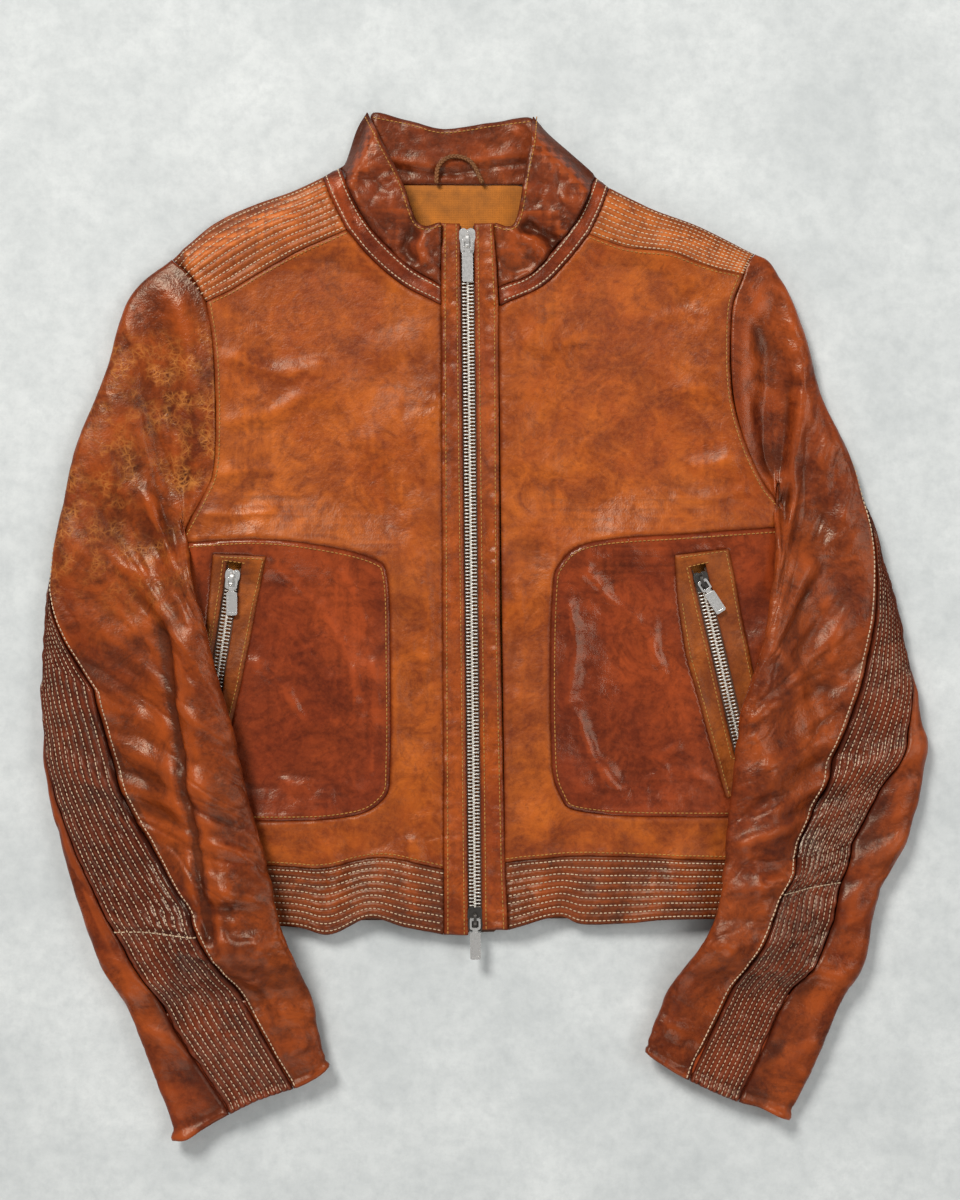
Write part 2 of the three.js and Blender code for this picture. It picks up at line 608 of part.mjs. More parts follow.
// A zip closed at its foot: one U-shaped tape, and one U-shaped pair of tooth rows.
function closedZip(group, names, length, tapeOut, look, pull) {
  const uShape = (inner, outer, top, foot, bridge) =>
    straight([[-outer, top], [-inner, top], [-inner, foot + bridge], [inner, foot + bridge], [inner, top],
      [outer, top], [outer, foot], [-outer, foot]]);
  const tape = plate(uShape(TAPE_IN, tapeOut, 3, -length - 8, 6), -TAPE_HALF, TAPE_HALF);
  const teeth = plate(uShape(TOOTH_IN, TOOTH_OUT, -4, -length, 1.2), -TOOTH_HALF, TOOTH_HALF);
  addPart(names.tape, tape, "tape", group);
  addPart(names.teeth, teeth, "steel", group, 1);
  addSlider(names.slider, names.pull, group, -7, 11, 15, pull, look);
}

for (const side of ["right", "left"]) {
  const namesOf = (zip) =>
    Object.fromEntries(["tape", "teeth", "slider", "pull"].map((key) => [key, `${zip}_${key}_${side}`]));

  const pocketZip = SEAMS[side].pocketZip;
  const [head, foot] = straight([pocketZip.from, pocketZip.to]);
  const pocketGroup = zipGroup(head, foot, CHAIN_Z, 1);
  const yaw = THREE.MathUtils.degToRad(pocketZip.yaw);
  const look = { colour: side === "right" ? "steel" : "gunmetal", yaw };
  closedZip(pocketGroup, namesOf("pocket"), head.distanceTo(foot), 9, look, 27);

  const cuffZip = SEAMS[side].cuffZip;
  const [mouth, end] = straight([cuffZip.from, cuffZip.to]);
  const scale = 0.8;
  const cuffGroup = zipGroup(mouth, end, FLOOR_GAP + CUFF_LIFT + LEATHER + 1, scale, -1);
  closedZip(cuffGroup, namesOf("cuff_zip"), mouth.distanceTo(end) / scale - 4, 9, {}, 24);
}

export default jacket;
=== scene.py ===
"""Looks of the leather riding jacket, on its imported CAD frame. Metres in Blender, mm in the numpy code."""
import functools
import math

import bpy
import numpy as np
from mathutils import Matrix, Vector
from mathutils.geometry import delaunay_2d_cdt


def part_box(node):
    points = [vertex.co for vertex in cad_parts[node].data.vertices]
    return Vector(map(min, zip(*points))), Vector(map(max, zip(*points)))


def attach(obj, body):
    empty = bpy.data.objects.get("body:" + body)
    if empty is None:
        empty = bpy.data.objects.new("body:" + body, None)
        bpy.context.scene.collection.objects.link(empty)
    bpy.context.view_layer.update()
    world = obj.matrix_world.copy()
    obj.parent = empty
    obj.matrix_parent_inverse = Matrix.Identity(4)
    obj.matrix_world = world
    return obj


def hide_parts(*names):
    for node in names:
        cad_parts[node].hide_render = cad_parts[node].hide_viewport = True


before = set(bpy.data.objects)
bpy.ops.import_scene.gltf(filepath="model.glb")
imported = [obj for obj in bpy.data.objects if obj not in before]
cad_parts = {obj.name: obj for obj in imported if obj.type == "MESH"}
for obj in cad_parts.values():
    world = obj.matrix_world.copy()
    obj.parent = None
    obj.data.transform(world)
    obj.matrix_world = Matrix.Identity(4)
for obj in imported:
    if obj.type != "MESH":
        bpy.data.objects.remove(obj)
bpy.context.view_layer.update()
MM = 0.001

# ---- sizes, as in the CAD source, in mm ---------------------------------------------------------
LEATHER = 1.6
FRONT_TOP = 14.4
EDGE_TOP = 5.0
CHAIN_Z = FRONT_TOP - 2.2
COLLAR_RISE = 7.0
SIDE_X = 228.0
SIDE_RIM = 11.0
SHOULDER_RIM = 20.0
SLEEVE_LIFT = 21.2
CUFF_LIFT = 4.2
FLOOR_GAP = 0.4
WINDOW = 7.2
MAIN_TOP = np.array([-11.6, 298.5])
MAIN_FOOT = np.array([-5.6, -217.0])
GRID = 2.1  # spacing of the points inside a panel
SLEEVE_RUN = 640.0  # length of a sleeve's outer side, armhole to cuff
SLEEVE_SPAN = 150.0  # width of a sleeve's simulated sheet
BODY_LOW = np.array([-235.0, -235.0])
BODY_SIZE = np.array([470.0, 580.0])
MAP_SIZE = (470, 590)  # the front's height map, one value for each millimetre
OUTER_LEAST = 0.22  # the lowest that a sleeve's outer face lies over the floor
INNER_LEAST = 0.25

SEAMS = {
    "right": {
        "shoulder": [(-234, 276), (-203, 303), (-172, 318), (-141, 328), (-120, 338)],
        "band_high": [(-120, 338), (-114, 322), (-102, 297)],
        "band_low": [(-102, 297), (-84, 276), (-60, 256), (-31, 241)],
        "band_inner": [(-107, 346), (-100, 327), (-87, 303), (-73, 286), (-53, 268), (-31, 255)],
        "yoke_foot": [(-102, 297), (-132, 284), (-160, 270), (-187, 254), (-207, 243)],
        "arm_top": [(-207, 243), (-218, 262), (-234, 276)],
        "arm_low": [(-225, 69), (-210, 97), (-201, 124), (-201, 196), (-207, 243)],
        "pocket": [(-226, 62), (-170, 65), (-121, 60), (-81, 50), (-71, 36), (-69, -18), (-69, -100),
                   (-75, -131), (-113, -145), (-228, -146)],
        "hem_top": [(-227, -176), (-146, -181), (-119, -182), (-76, -174), (-29, -183)],
        "hem_foot": [(-219, -224), (-144, -226), (-115, -232), (-85, -219), (-58, -226), (-29, -232)],
        "placket": [(-31, 302), (-31, 241), (-29, -183), (-29, -232)],
        "leaf": [(-31, 302), (-48, 302), (-60, 333), (-75, 362), (-87, 388)],
        "collar_side": [(-87, 388), (-95, 374), (-103, 350), (-107, 346)],
        "welt": [(-202, 54), (-162, 52), (-169, 20), (-181, -43), (-201, -123), (-222, -123), (-207, 2)],
        "pocket_zip": ((-187, 42), (-207, -91)),
        "cuff_zip": ((-178, -352), (-193, -301.5)),
    },
    "left": {
        "shoulder": [(205, 280), (184, 291), (160, 302), (126, 314), (95, 330)],
        "band_high": [(95, 330), (89, 313), (80, 294)],
        "band_low": [(80, 294), (63, 273), (43, 254), (13, 240)],
        "band_inner": [(85, 339), (79, 322), (69, 302), (51, 279), (33, 262), (12, 254)],
        "yoke_foot": [(80, 294), (109, 284), (142, 280), (167, 271), (196, 264)],
        "arm_top": [(196, 264), (199, 273), (205, 280)],
        "arm_low": [(225, 90), (211, 107), (196, 140), (187, 180), (187, 236), (196, 264)],
        "pocket": [(225, 74), (155, 69), (83, 63), (58, 47), (52, 20), (51, -78), (57, -125), (86, -141),
                   (228, -144)],
        "hem_top": [(226, -176), (178, -176), (88, -173), (43, -175), (17, -178)],
        "hem_foot": [(220, -220), (140, -220), (111, -223), (75, -224), (56, -218), (19, -228)],
        "placket": [(9, 302), (12, 240), (13, 6), (17, -178), (19, -228)],
        "leaf": [(9, 302), (24, 302), (32, 342), (36, 362), (38, 385)],
        "collar_side": [(38, 385), (49, 372), (65, 358), (82, 343), (85, 339)],
        "welt": [(144, 53), (185, 58), (201, -24), (222, -129), (183, -129), (164, -61), (153, -22),
                 (147, 17)],
        "pocket_zip": ((163, 40), (194, -92)),
        "cuff_zip": ((176, -347), (197.7, -295.4)),
    },
}

SLEEVES = {
    "right": {
        "outer": [(-234, 276), (-264, 248), (-281, 196), (-306, 132), (-323, 50), (-330, -8), (-330, -56),
                  (-325, -123), (-305, -200), (-288, -249), (-264, -292), (-237, -363), (-231, -388)],
        "inner": [(-225, 69), (-229, 58), (-226, 44), (-217, 31), (-205, -8), (-192, -54), (-177, -113),
                  (-159, -180), (-150, -218), (-130, -276), (-120, -330)],
        "cuff": [(-120, -330), (-118, -335), (-135, -346), (-171, -358), (-207, -378), (-220, -386),
                 (-231, -388)],
        "armpit_y": 68,
        "quilt_inner": [(0, 1.3), (0.2, 1.15), (0.38, 0.97), (0.46, 0.66), (0.58, 0.6), (0.72, 0.47),
                        (0.83, 0.43), (1, 0.33)],
        "quilt_outer": [(0, 1.55), (0.2, 1.45), (0.38, 1.2), (0.52, 0.97), (0.64, 0.86), (0.76, 0.75),
                        (0.88, 0.7), (1, 0.59)],
        "cross_seam": 0.75,
    },
    "left": {
        "outer": [(205, 280), (216, 273), (229, 248), (242, 211), (255, 172), (276, 125), (305, 38),
                  (318, -13), (329, -70), (333, -87), (330, -112), (318, -160), (297, -200), (285, -254),
                  (268, -285), (242, -345), (228, -372)],
        "inner": [(225, 90), (229, 80), (227, 66), (220, 51), (211, -2), (192, -68), (183, -131),
                  (177, -193), (167, -227), (145, -263), (129, -302), (126, -319)],
        "cuff": [(126, -319), (126, -324), (150, -340), (190, -358), (208, -363), (228, -372)],
        "armpit_y": 90,
        "quilt_inner": [(0, 1.25), (0.2, 1.1), (0.32, 0.93), (0.42, 0.74), (0.54, 0.53), (0.64, 0.45),
                        (0.8, 0.4), (1, 0.39)],
        "quilt_outer": [(0, 1.5), (0.2, 1.35), (0.32, 1.15), (0.5, 0.92), (0.6, 0.7), (0.66, 0.63),
                        (0.76, 0.68), (0.88, 0.61), (1, 0.61)],
        "cross_seam": 0.71,
    },
}

# Folds and creases, laid one by one: plan points, half width and height in mm
FRONT_FOLDS = [
    ([(-196, 205), (-150, 190), (-112, 200)], 6, 1.3), ([(-198, 150), (-160, 160), (-128, 176)], 5, 1.0),
    ([(-205, 110), (-170, 118), (-140, 112)], 6, 1.4), ([(-214, 84), (-180, 84), (-150, 88)], 4, 1.0),
    ([(-120, 240), (-90, 218), (-70, 190)], 8, 0.8), ([(-92, 150), (-70, 120), (-60, 85)], 7, 0.8),
    ([(184, 230), (150, 236), (120, 228)], 6, 0.9), ([(190, 170), (160, 178), (132, 172)], 7, 1.1),
    ([(196, 130), (165, 120), (140, 128)], 6, 1.2), ([(205, 104), (170, 96), (138, 98)], 5, 1.2),
    ([(100, 240), (70, 215), (52, 180)], 8, 0.7), ([(60, 150), (45, 110), (38, 70)], 7, 0.7),
    ([(-160, 48), (-128, 20), (-104, -14), (-92, -60)], 5, 1.5),
    ([(-110, 46), (-96, 24), (-86, -8)], 4, 1.1), ([(-176, -20), (-140, -62), (-98, -96)], 6, 1.3),
    ([(-150, -40), (-120, -100), (-92, -128)], 4, 0.9), ([(-196, -90), (-160, -112), (-124, -122)], 5, 1.1),
    ([(-82, -20), (-80, -70), (-86, -116)], 4, 0.9), ([(-165, 10), (-140, -8), (-118, -40)], 3, 0.7),
    ([(72, 46), (96, 20), (124, -8), (140, -46)], 5, 1.3), ([(64, 22), (70, -20), (62, -66)], 4, 1.0),
    ([(70, -60), (82, -96), (104, -126)], 4, 1.3), ([(120, 40), (130, 4), (122, -40)], 6, 0.9),
    ([(160, -84), (130, -98), (96, -88)], 6, 1.2), ([(176, -122), (150, -108), (118, -118)], 5, 0.9),
    ([(-56, -150), (-50, -170), (-54, -190), (-50, -226)], 6, 1.3),
    ([(-118, -150), (-112, -180), (-116, -228)], 9, 1.8),
    ([(-168, -156), (-172, -190), (-168, -222)], 9, 1.2),
    ([(40, -150), (46, -180), (44, -222)], 8, 1.2), ([(96, -150), (92, -186), (96, -220)], 9, 1.4),
    ([(150, -152), (146, -184), (150, -218)], 9, 1.2), ([(-45, 60), (-40, 0), (-46, -60)], 4, 0.8),
    ([(26, 40), (30, -20), (26, -80)], 4, 0.8), ([(-44, -60), (-38, -110), (-42, -150)], 4, 0.7),
]
COLLAR_FOLDS = [
    ([(-47, 300), (-58, 285), (-50, 268)], 5, -3.0), ([(25, 303), (52, 290), (58, 272), (45, 256)], 5, -3.4),
    ([(-40, 300), (-46, 284), (-40, 266)], 5, 2.0), ([(16, 296), (38, 288), (44, 272), (32, 258)], 5, 2.2),
]
SLEEVE_FOLDS = {
    "right": [([(-240, 0), (-232, -65), (-221, -123), (-210, -180), (-201, -238)], 4.2, -3.8),
              ([(-228, 10), (-218, -60), (-205, -123), (-192, -190), (-186, -240)], 8, 2.0),
              ([(-218, 60), (-250, 40), (-280, 50)], 7, 1.6), ([(-214, 90), (-245, 92), (-272, 110)], 7, 1.3),
              ([(-222, 30), (-250, 5), (-276, -8)], 6, 1.3), ([(-262, 232), (-246, 200), (-240, 160)], 9, 1.5),
              ([(-230, 250), (-222, 215), (-220, 170)], 6, 1.0),
              ([(-190, -210), (-168, -232), (-150, -262)], 6, 1.4),
              ([(-196, -250), (-166, -270), (-142, -300)], 5, 1.4),
              ([(-262, -300), (-236, -308), (-214, -330)], 5, 1.6),
              ([(-270, -240), (-262, -262), (-268, -284)], 5, 1.2)],
    "left": [([(226, 94), (234, 131), (239, 165), (239, 214), (222, 268)], 8, 3.2),
             ([(206, 240), (212, 190), (214, 140), (222, 104)], 10, -3.4),
             ([(224, 60), (246, 40), (262, 0), (262, -50)], 8, 1.6),
             ([(262, 150), (258, 110), (272, 70)], 7, 1.2),
             ([(212, -10), (236, -40), (246, -90)], 6, 1.3), ([(196, -70), (214, -110), (220, -160)], 7, 1.3),
             ([(186, -150), (206, -190), (204, -226)], 6, 1.5),
             ([(168, -230), (190, -250), (182, -290)], 6, 1.5),
             ([(300, -196), (280, -216), (262, -222)], 5, 1.6),
             ([(284, -250), (262, -262), (246, -258)], 5, 1.6),
             ([(258, -310), (236, -318), (224, -340)], 5, 1.4)],
}


# ---- numpy helpers ------------------------------------------------------------------------------
def smooth(t):
    """0 below 0, 1 above 1, and an even curve between."""
    t = np.clip(t, 0, 1)
    return t * t * (3 - 2 * t)


def mix(a, b, share):
    """The value a share of the way from a to b."""
    return a + (b - a) * share


def lattice(ix, iy, seed):
    """A repeatable value from -1 to 1 for each whole-number lattice point."""
    mixed = (ix * 374761393 + iy * 668265263 + seed * 974634777) & 0xFFFFFFFF
    mixed = ((mixed ^ (mixed >> 13)) * 1274126177) & 0xFFFFFFFF
    return ((mixed ^ (mixed >> 16)) & 0xFFFF) / 32767.5 - 1


def noise(x, y, seed=0):
    """Smooth noise from -1 to 1 with features about 1 across."""
    ix, iy = np.floor(x).astype(np.int64), np.floor(y).astype(np.int64)
    fx, fy = x - ix, y - iy
    ux, uy = fx ** 3 * (fx * (fx * 6 - 15) + 10), fy ** 3 * (fy * (fy * 6 - 15) + 10)
    low = mix(lattice(ix, iy, seed), lattice(ix + 1, iy, seed), ux)
    high = mix(lattice(ix, iy + 1, seed), lattice(ix + 1, iy + 1, seed), ux)
    return mix(low, high, uy)


def fractal(x, y, octaves=3, seed=0):
    """Noise with finer and weaker turned copies added."""
    total = np.zeros_like(x)
    for k in range(octaves):
        turn = 0.6 + k * 1.1
        u, v = x * math.cos(turn) - y * math.sin(turn), x * math.sin(turn) + y * math.cos(turn)
        total = total + noise(u * 2 ** k + 17.3 * k, v * 2 ** k, seed + k) / 2 ** k
    return total


def creases(x, y, size, seed, width=0.12):
    """Thin valleys along the zero lines of a warped noise, from 0 to 1."""
    wx = x / size + 0.5 * fractal(x / size / 2, y / size / 2, 2, seed + 50)
    wy = y / size + 0.5 * fractal(x / size / 2, y / size / 2, 2, seed + 60)
    return np.exp(-(fractal(wx, wy, 2, seed) / width) ** 2)


def spline(points, count):
    """Evenly spaced points on the Catmull-Rom line through the points."""
    p = np.array(points, float)
    ext = np.vstack([2 * p[0] - p[1], p, 2 * p[-1] - p[-2]])
    t = np.linspace(0, len(p) - 1 - 1e-9, 40 * (len(p) - 1))
    i = t.astype(int)
    f = (t - i)[:, None]
    a, b, c, d = ext[i], ext[i + 1], ext[i + 2], ext[i + 3]
    v0, v1 = (c - a) / 2, (d - b) / 2
    start = i == 0
    v0[start] = (v0[start] + (c - b)[start]) / 2
    line = (2 * b - 2 * c + v0 + v1) * f ** 3 + (-3 * b + 3 * c - 2 * v0 - v1) * f ** 2 + v0 * f + b
    return respace(np.vstack([line, p[-1]]), count)


def respace(line, count):
    """The same line in evenly spaced points."""
    run = np.r_[0, np.cumsum(np.hypot(*np.diff(line, axis=0).T[:2]))]
    at = np.linspace(0, run[-1], count + 1)
    return np.stack([np.interp(at, run, line[:, k]) for k in range(line.shape[1])], 1)


def length_of(line):
    """The length of a line of plan points."""
    return float(np.hypot(*np.diff(np.asarray(line, float), axis=0).T[:2]).sum())


def seam(side, key, step=3.0):
    """A seam line of one side, with a point about every step."""
    points = SEAMS[side][key]
    return spline(points, max(4, int(length_of(points) / step)))


def ring(*lines):
    """One closed outline from lines that follow each other."""
    joined = np.vstack([np.asarray(line, float) for line in lines])
    keep = np.r_[True, np.hypot(*np.diff(joined, axis=0).T) > 0.7]
    joined = joined[keep]
    return joined[:-1] if np.hypot(*(joined[0] - joined[-1])) < 0.7 else joined


def area(outline):
    """Signed area, positive when the outline runs counter-clockwise."""
    x, y = outline.T
    return float(np.sum(x * np.roll(y, -1) - np.roll(x, -1) * y)) / 2


def offset(outline, distance, closed=True):
    """The line moved to its left by a distance; a closed one is first turned so that left is inside."""
    p = outline if not closed or area(outline) > 0 else outline[::-1]
    if closed:
        tangent = np.roll(p, -1, 0) - np.roll(p, 1, 0)
    else:
        tangent = np.gradient(p, axis=0)
    tangent /= np.hypot(*tangent.T)[:, None] + 1e-9
    return p + distance * np.stack([-tangent[:, 1], tangent[:, 0]], 1)


def distance_to(x, y, line, closed=False):
    """Distance from each point to a line of plan points. Far points are measured to a coarser line."""
    p = np.vstack([line, line[:1]]) if closed else np.asarray(line, float)
    if len(p) <= 60:
        return exact_distance(x, y, p)
    best = exact_distance(x, y, np.vstack([p[::12], p[-1:]]))
    near = best < 15
    if near.any():
        best[near] = exact_distance(x[near], y[near], p)
    return best


def exact_distance(x, y, p):
    """Distance from each point to the nearest piece of an open line."""
    best = np.full(x.shape, 1e9)
    for (ax, ay), (bx, by) in zip(p[:-1], p[1:]):
        dx, dy = bx - ax, by - ay
        t = np.clip(((x - ax) * dx + (y - ay) * dy) / (dx * dx + dy * dy + 1e-9), 0, 1)
        np.minimum(best, (x - ax - t * dx) ** 2 + (y - ay - t * dy) ** 2, out=best)
    return np.sqrt(best)


def fold_height(x, y, folds):
    """Ridges and valleys along given lines, fading at their ends."""
    total = np.zeros_like(x)
    for points, half, height in folds:
        line = spline(points, 8 * (len(points) - 1))
        near = (np.abs(x - line[:, 0].mean()) < np.ptp(line[:, 0]) / 2 + 4 * half)
        near &= np.abs(y - line[:, 1].mean()) < np.ptp(line[:, 1]) / 2 + 4 * half
        if not near.any():
            continue
        px, py = x[near], y[near]
        wobble = 0.35 * half * noise(px / 9, py / 9, 5)
        d = distance_to(px, py, line) + wobble
        ends = np.minimum(np.hypot(px - line[0, 0], py - line[0, 1]),
                          np.hypot(px - line[-1, 0], py - line[-1, 1]))
        total[near] += 1.5 * height * np.exp(-(d / half) ** 2) * smooth(ends / (2.2 * half))
    return total


# ---- the laid shape -----------------------------------------------------------------------------
def main_x(y):
    """Where the straight main zip is at a height up the front."""
    return mix(MAIN_TOP[0], MAIN_FOOT[0], (MAIN_TOP[1] - y) / (MAIN_TOP[1] - MAIN_FOOT[1]))


def line_distance(x, y, a, b):
    """Distance to the endless line through a and b."""
    (ax, ay), (bx, by) = a, b
    return np.abs((x - ax) * (by - ay) - (y - ay) * (bx - ax)) / math.hypot(bx - ax, by - ay)


def front_base(x, y):
    """The front's level face, rounding down to the side seams and the shoulders."""
    rim = (SIDE_X - np.abs(x)) / SIDE_RIM
    for side in ("right", "left"):
        arm, neck = SEAMS[side]["shoulder"][0], SEAMS[side]["shoulder"][-1]
        mine = (x < 0) if side == "right" else (x >= 0)
        line_y = mix(arm[1], neck[1], np.clip((x - arm[0]) / (neck[0] - arm[0]), 0, 1))
        under = np.where(y < line_y + 6, line_distance(x, y - 6, arm, neck), 0) / SHOULDER_RIM
        near_neck = smooth((np.abs(x) - abs(neck[0]) + 34) / 24)
        rim = np.where(mine, np.minimum(rim, mix(1.0, under, near_neck)), rim)
    return mix(EDGE_TOP, FRONT_TOP, np.sin(np.clip(rim, 0, 1) * math.pi / 2))


def front_height(x, y):
    """The front's outer face with the puckers, folds and waves of soft, washed leather."""
    base = front_base(x, y)
    from_zip = np.abs(x - main_x(y))
    calm = smooth((from_zip - WINDOW) / 14)
    by_pocket_zip = np.full(x.shape, 1e9)
    for side in ("right", "left"):
        by_pocket_zip = np.minimum(by_pocket_zip, distance_to(x, y, SEAMS[side]["pocket_zip"]))
    calm = calm * smooth((by_pocket_zip - 8) / 14)
    soft = 1.3 * fractal(x / 62, y / 74, 3, 3) + 0.45 * fractal(x / 15, y / 17, 3, 9)
    puckers = 0.8 * noise(x / 11, y / 4.6, 21) * np.exp(-((from_zip - 18) / 9) ** 2)
    hem = smooth((-168 - y) / 40) * 2.0 * np.sin(x / 17 + 1.3 * noise(x / 60, y / 90, 7))
    lines = -0.55 * creases(x, y, 46, 31) * (0.4 + 0.6 * smooth(fractal(x / 80, y / 80, 2, 40) + 0.4))
    return base + calm * (soft + fold_height(x, y, FRONT_FOLDS) + hem + lines) + puckers


def collar_height(x, y):
    """The collar stands up to its free edge and folds down at its outer side."""
    left, right = SEAMS["left"]["collar_side"], SEAMS["right"]["collar_side"]
    to_side = [line_distance(x, y, edge[0], edge[-1]) for edge in (left, right)]
    fold = smooth(np.minimum(*to_side) / 16)
    rise = COLLAR_RISE * smooth((y - 262) / 60)
    rolls = 1.5 * noise(x / 22, y / 15, 71) + 0.8 * fractal(x / 9, y / 8, 2, 73)
    rolls -= 1.0 * creases(x, y, 24, 77, 0.16)
    return mix(EDGE_TOP + 0.8, FRONT_TOP + rise, fold) + fold * rolls + fold_height(x, y, COLLAR_FOLDS)


def sleeve_table(side, key, s):
    """How far round the sleeve a quilting seam is, in half turns, at a share s down it."""
    table = np.array(SLEEVES[side][key], float)
    return np.interp(s, table[:, 0], table[:, 1])


def sleeve_base(side, s, turn, depth=0.0):
    """Point on the flattened sleeve tube: s from armhole to cuff, turn round it, depth inside its face."""
    shape = SLEEVES[side]
    arm = SEAMS[side]["arm_low"] + SEAMS[side]["arm_top"][1:]
    lines = {"outer": shape["outer"], "inner": shape["inner"], "arm": arm, "cuff": shape["cuff"]}
    share = np.linspace(0, 1, 241)
    lines = {key: spline(points, 240) for key, points in lines.items()}

    def along(key, t):
        t = np.clip(t, 0, 1)
        return np.stack([np.interp(t, share, lines[key][:, k]) for k in (0, 1)], -1)

    inner, outer = along("inner", s), along("outer", s)
    width = np.hypot(*np.moveaxis(inner - outer, -1, 0))
    across = 0.5 - np.cos(turn) / 2 * (1 - 2 * depth / width)
    plan = mix(inner, outer, across[..., None])
    for key, end, fade in (("arm", 0, 1 - s / 0.18), ("cuff", 1, 1 - (1 - s) / 0.1)):
        chord = mix(lines["inner"][-end], lines["outer"][-end], across[..., None])
        plan = plan + (along(key, across) - chord) * (np.clip(fade, 0, 1) ** 2)[..., None]
    x, y = plan[..., 0], plan[..., 1]
    over_body = smooth((SIDE_X + 30 - np.abs(x)) / 50)
    below_arm = smooth((shape["armpit_y"] - y) / 34)
    above_hem = smooth((y + 285) / 53)
    lift = SLEEVE_LIFT * over_body * below_arm * above_hem + CUFF_LIFT * smooth((s - 0.6) / 0.15)
    thickness = FRONT_TOP - FLOOR_GAP + 3 * np.sin(math.pi * s) * np.clip(s * 4, 0, 1)
    height = (thickness / 2 - depth) * np.sign(np.sin(turn)) * np.abs(np.sin(turn)) ** 0.6
    return np.stack([x, y, FLOOR_GAP + lift + thickness / 2 + height], -1)


def sleeve_relief(side, s, turn, point):
    """How far the worn leather stands out of or sinks below the plain tube."""
    x, y, _ = np.moveaxis(point, -1, 0)
    top = np.clip(np.sin(turn), 0, 1) ** 0.5
    run, around = s * SLEEVE_RUN, turn * 52
    elbow = np.exp(-((s - 0.62) / 0.2) ** 2)
    cuff = smooth((s - 0.8) / 0.15)
    bent_run = run / 17 + 0.6 * noise(run / 60, around / 50, 4)
    cross = (0.8 + 1.9 * elbow + 1.7 * cuff) * noise(bent_run, around / 46, 11)
    soft = 1.7 * fractal(run / 85, around / 60, 3, 15) + 0.45 * fractal(run / 13, around / 15, 2, 19)
    lines = -(0.5 + 0.8 * elbow) * creases(run * 1.3, around, 38, 23 if side == "right" else 29)
    ends = smooth(s / 0.03)
    return ends * (cross + soft + lines) * (0.35 + 0.65 * top) + top * fold_height(x, y, SLEEVE_FOLDS[side])


def normals_of(grid):
    """Unit normals of a grid of points."""
    du, dv = np.gradient(grid, axis=0), np.gradient(grid, axis=1)
    n = np.cross(du, dv)
    return n / (np.linalg.norm(n, axis=-1, keepdims=True) + 1e-12)


# ---- mesh building ------------------------------------------------------------------------------
def make_object(name, verts, faces, material, body="jacket", smooth_faces=True, **attributes):
    """A mesh from points in mm that rides on a body, with a value at each point for every attribute."""
    mesh = bpy.data.meshes.new(name)
    mesh.from_pydata((np.asarray(verts) * MM).tolist(), [], faces)
    mesh.update()
    if smooth_faces:
        mesh.polygons.foreach_set("use_smooth", np.ones(len(mesh.polygons), bool))
    for key, values in attributes.items():
        layer = mesh.attributes.new(key, "FLOAT", "POINT")
        layer.data.foreach_set("value", np.asarray(values, np.float32))
    mesh.materials.append(material)
    obj = bpy.data.objects.new(name, mesh)
    bpy.context.scene.collection.objects.link(obj)
    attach(obj, body)
    return obj


def stand_for(obj, node):
    """The object takes the place of a CAD node, whose part is hidden."""
    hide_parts(node)
    return obj


def triangulate(outline, holes=(), grid=GRID):
    """Points and triangles that fill the outline with an even hexagonal grid."""
    outline = outline if area(outline) > 0 else outline[::-1]
    loops = [respace(np.vstack([loop, loop[:1]]), max(8, int(length_of(loop) / grid)))[:-1]
             for loop in (outline, *holes)]
    (x0, y0), (x1, y1) = outline.min(0), outline.max(0)
    gx, gy = np.meshgrid(np.arange(x0, x1, grid), np.arange(y0, y1, grid * 0.866))
    gx = gx + (np.arange(gx.shape[0]) % 2 * grid / 2)[:, None]
    px, py = gx.ravel(), gy.ravel()
    keep = contains(px, py, loops[0])
    for hole in loops[1:]:
        keep &= ~contains(px, py, hole)
    px, py = px[keep], py[keep]
    clear = np.ones(len(px), bool)
    for loop in loops:
        clear &= distance_to(px, py, loop, closed=True) > grid * 0.55
    points, edges = [], []
    for loop in loops:
        first = len(points)
        points += [Vector(p) for p in loop]
        edges += [(first + i, first + (i + 1) % len(loop)) for i in range(len(loop))]
    points += [Vector(p) for p in zip(px[clear], py[clear])]
    made, _, faces, *_ = delaunay_2d_cdt(points, edges, [], 2 if len(loops) == 1 else 4, 1e-4)
    plan = np.array([(p.x, p.y) for p in made])
    if len(loops) > 1:
        faces = outside_holes(plan, faces, loops)
    return plan, [list(f) for f in faces], loops


def outside_holes(plan, faces, loops):
    """The triangles whose middles are inside the first loop and outside the others."""
    cx, cy = plan[np.array(faces)].mean(1).T
    keep = contains(cx, cy, loops[0])
    for hole in loops[1:]:
        keep &= ~contains(cx, cy, hole)
    return [f for f, kept in zip(faces, keep) if kept]


def contains(x, y, loop):
    """Which points are inside a closed outline."""
    inside = np.zeros(x.shape, bool)
    for (ax, ay), (bx, by) in zip(loop, np.roll(loop, -1, 0)):
        crosses = (ay > y) != (by > y)
        inside ^= crosses & (x < (bx - ax) * (y - ay) / (by - ay + 1e-12) + ax)
    return inside


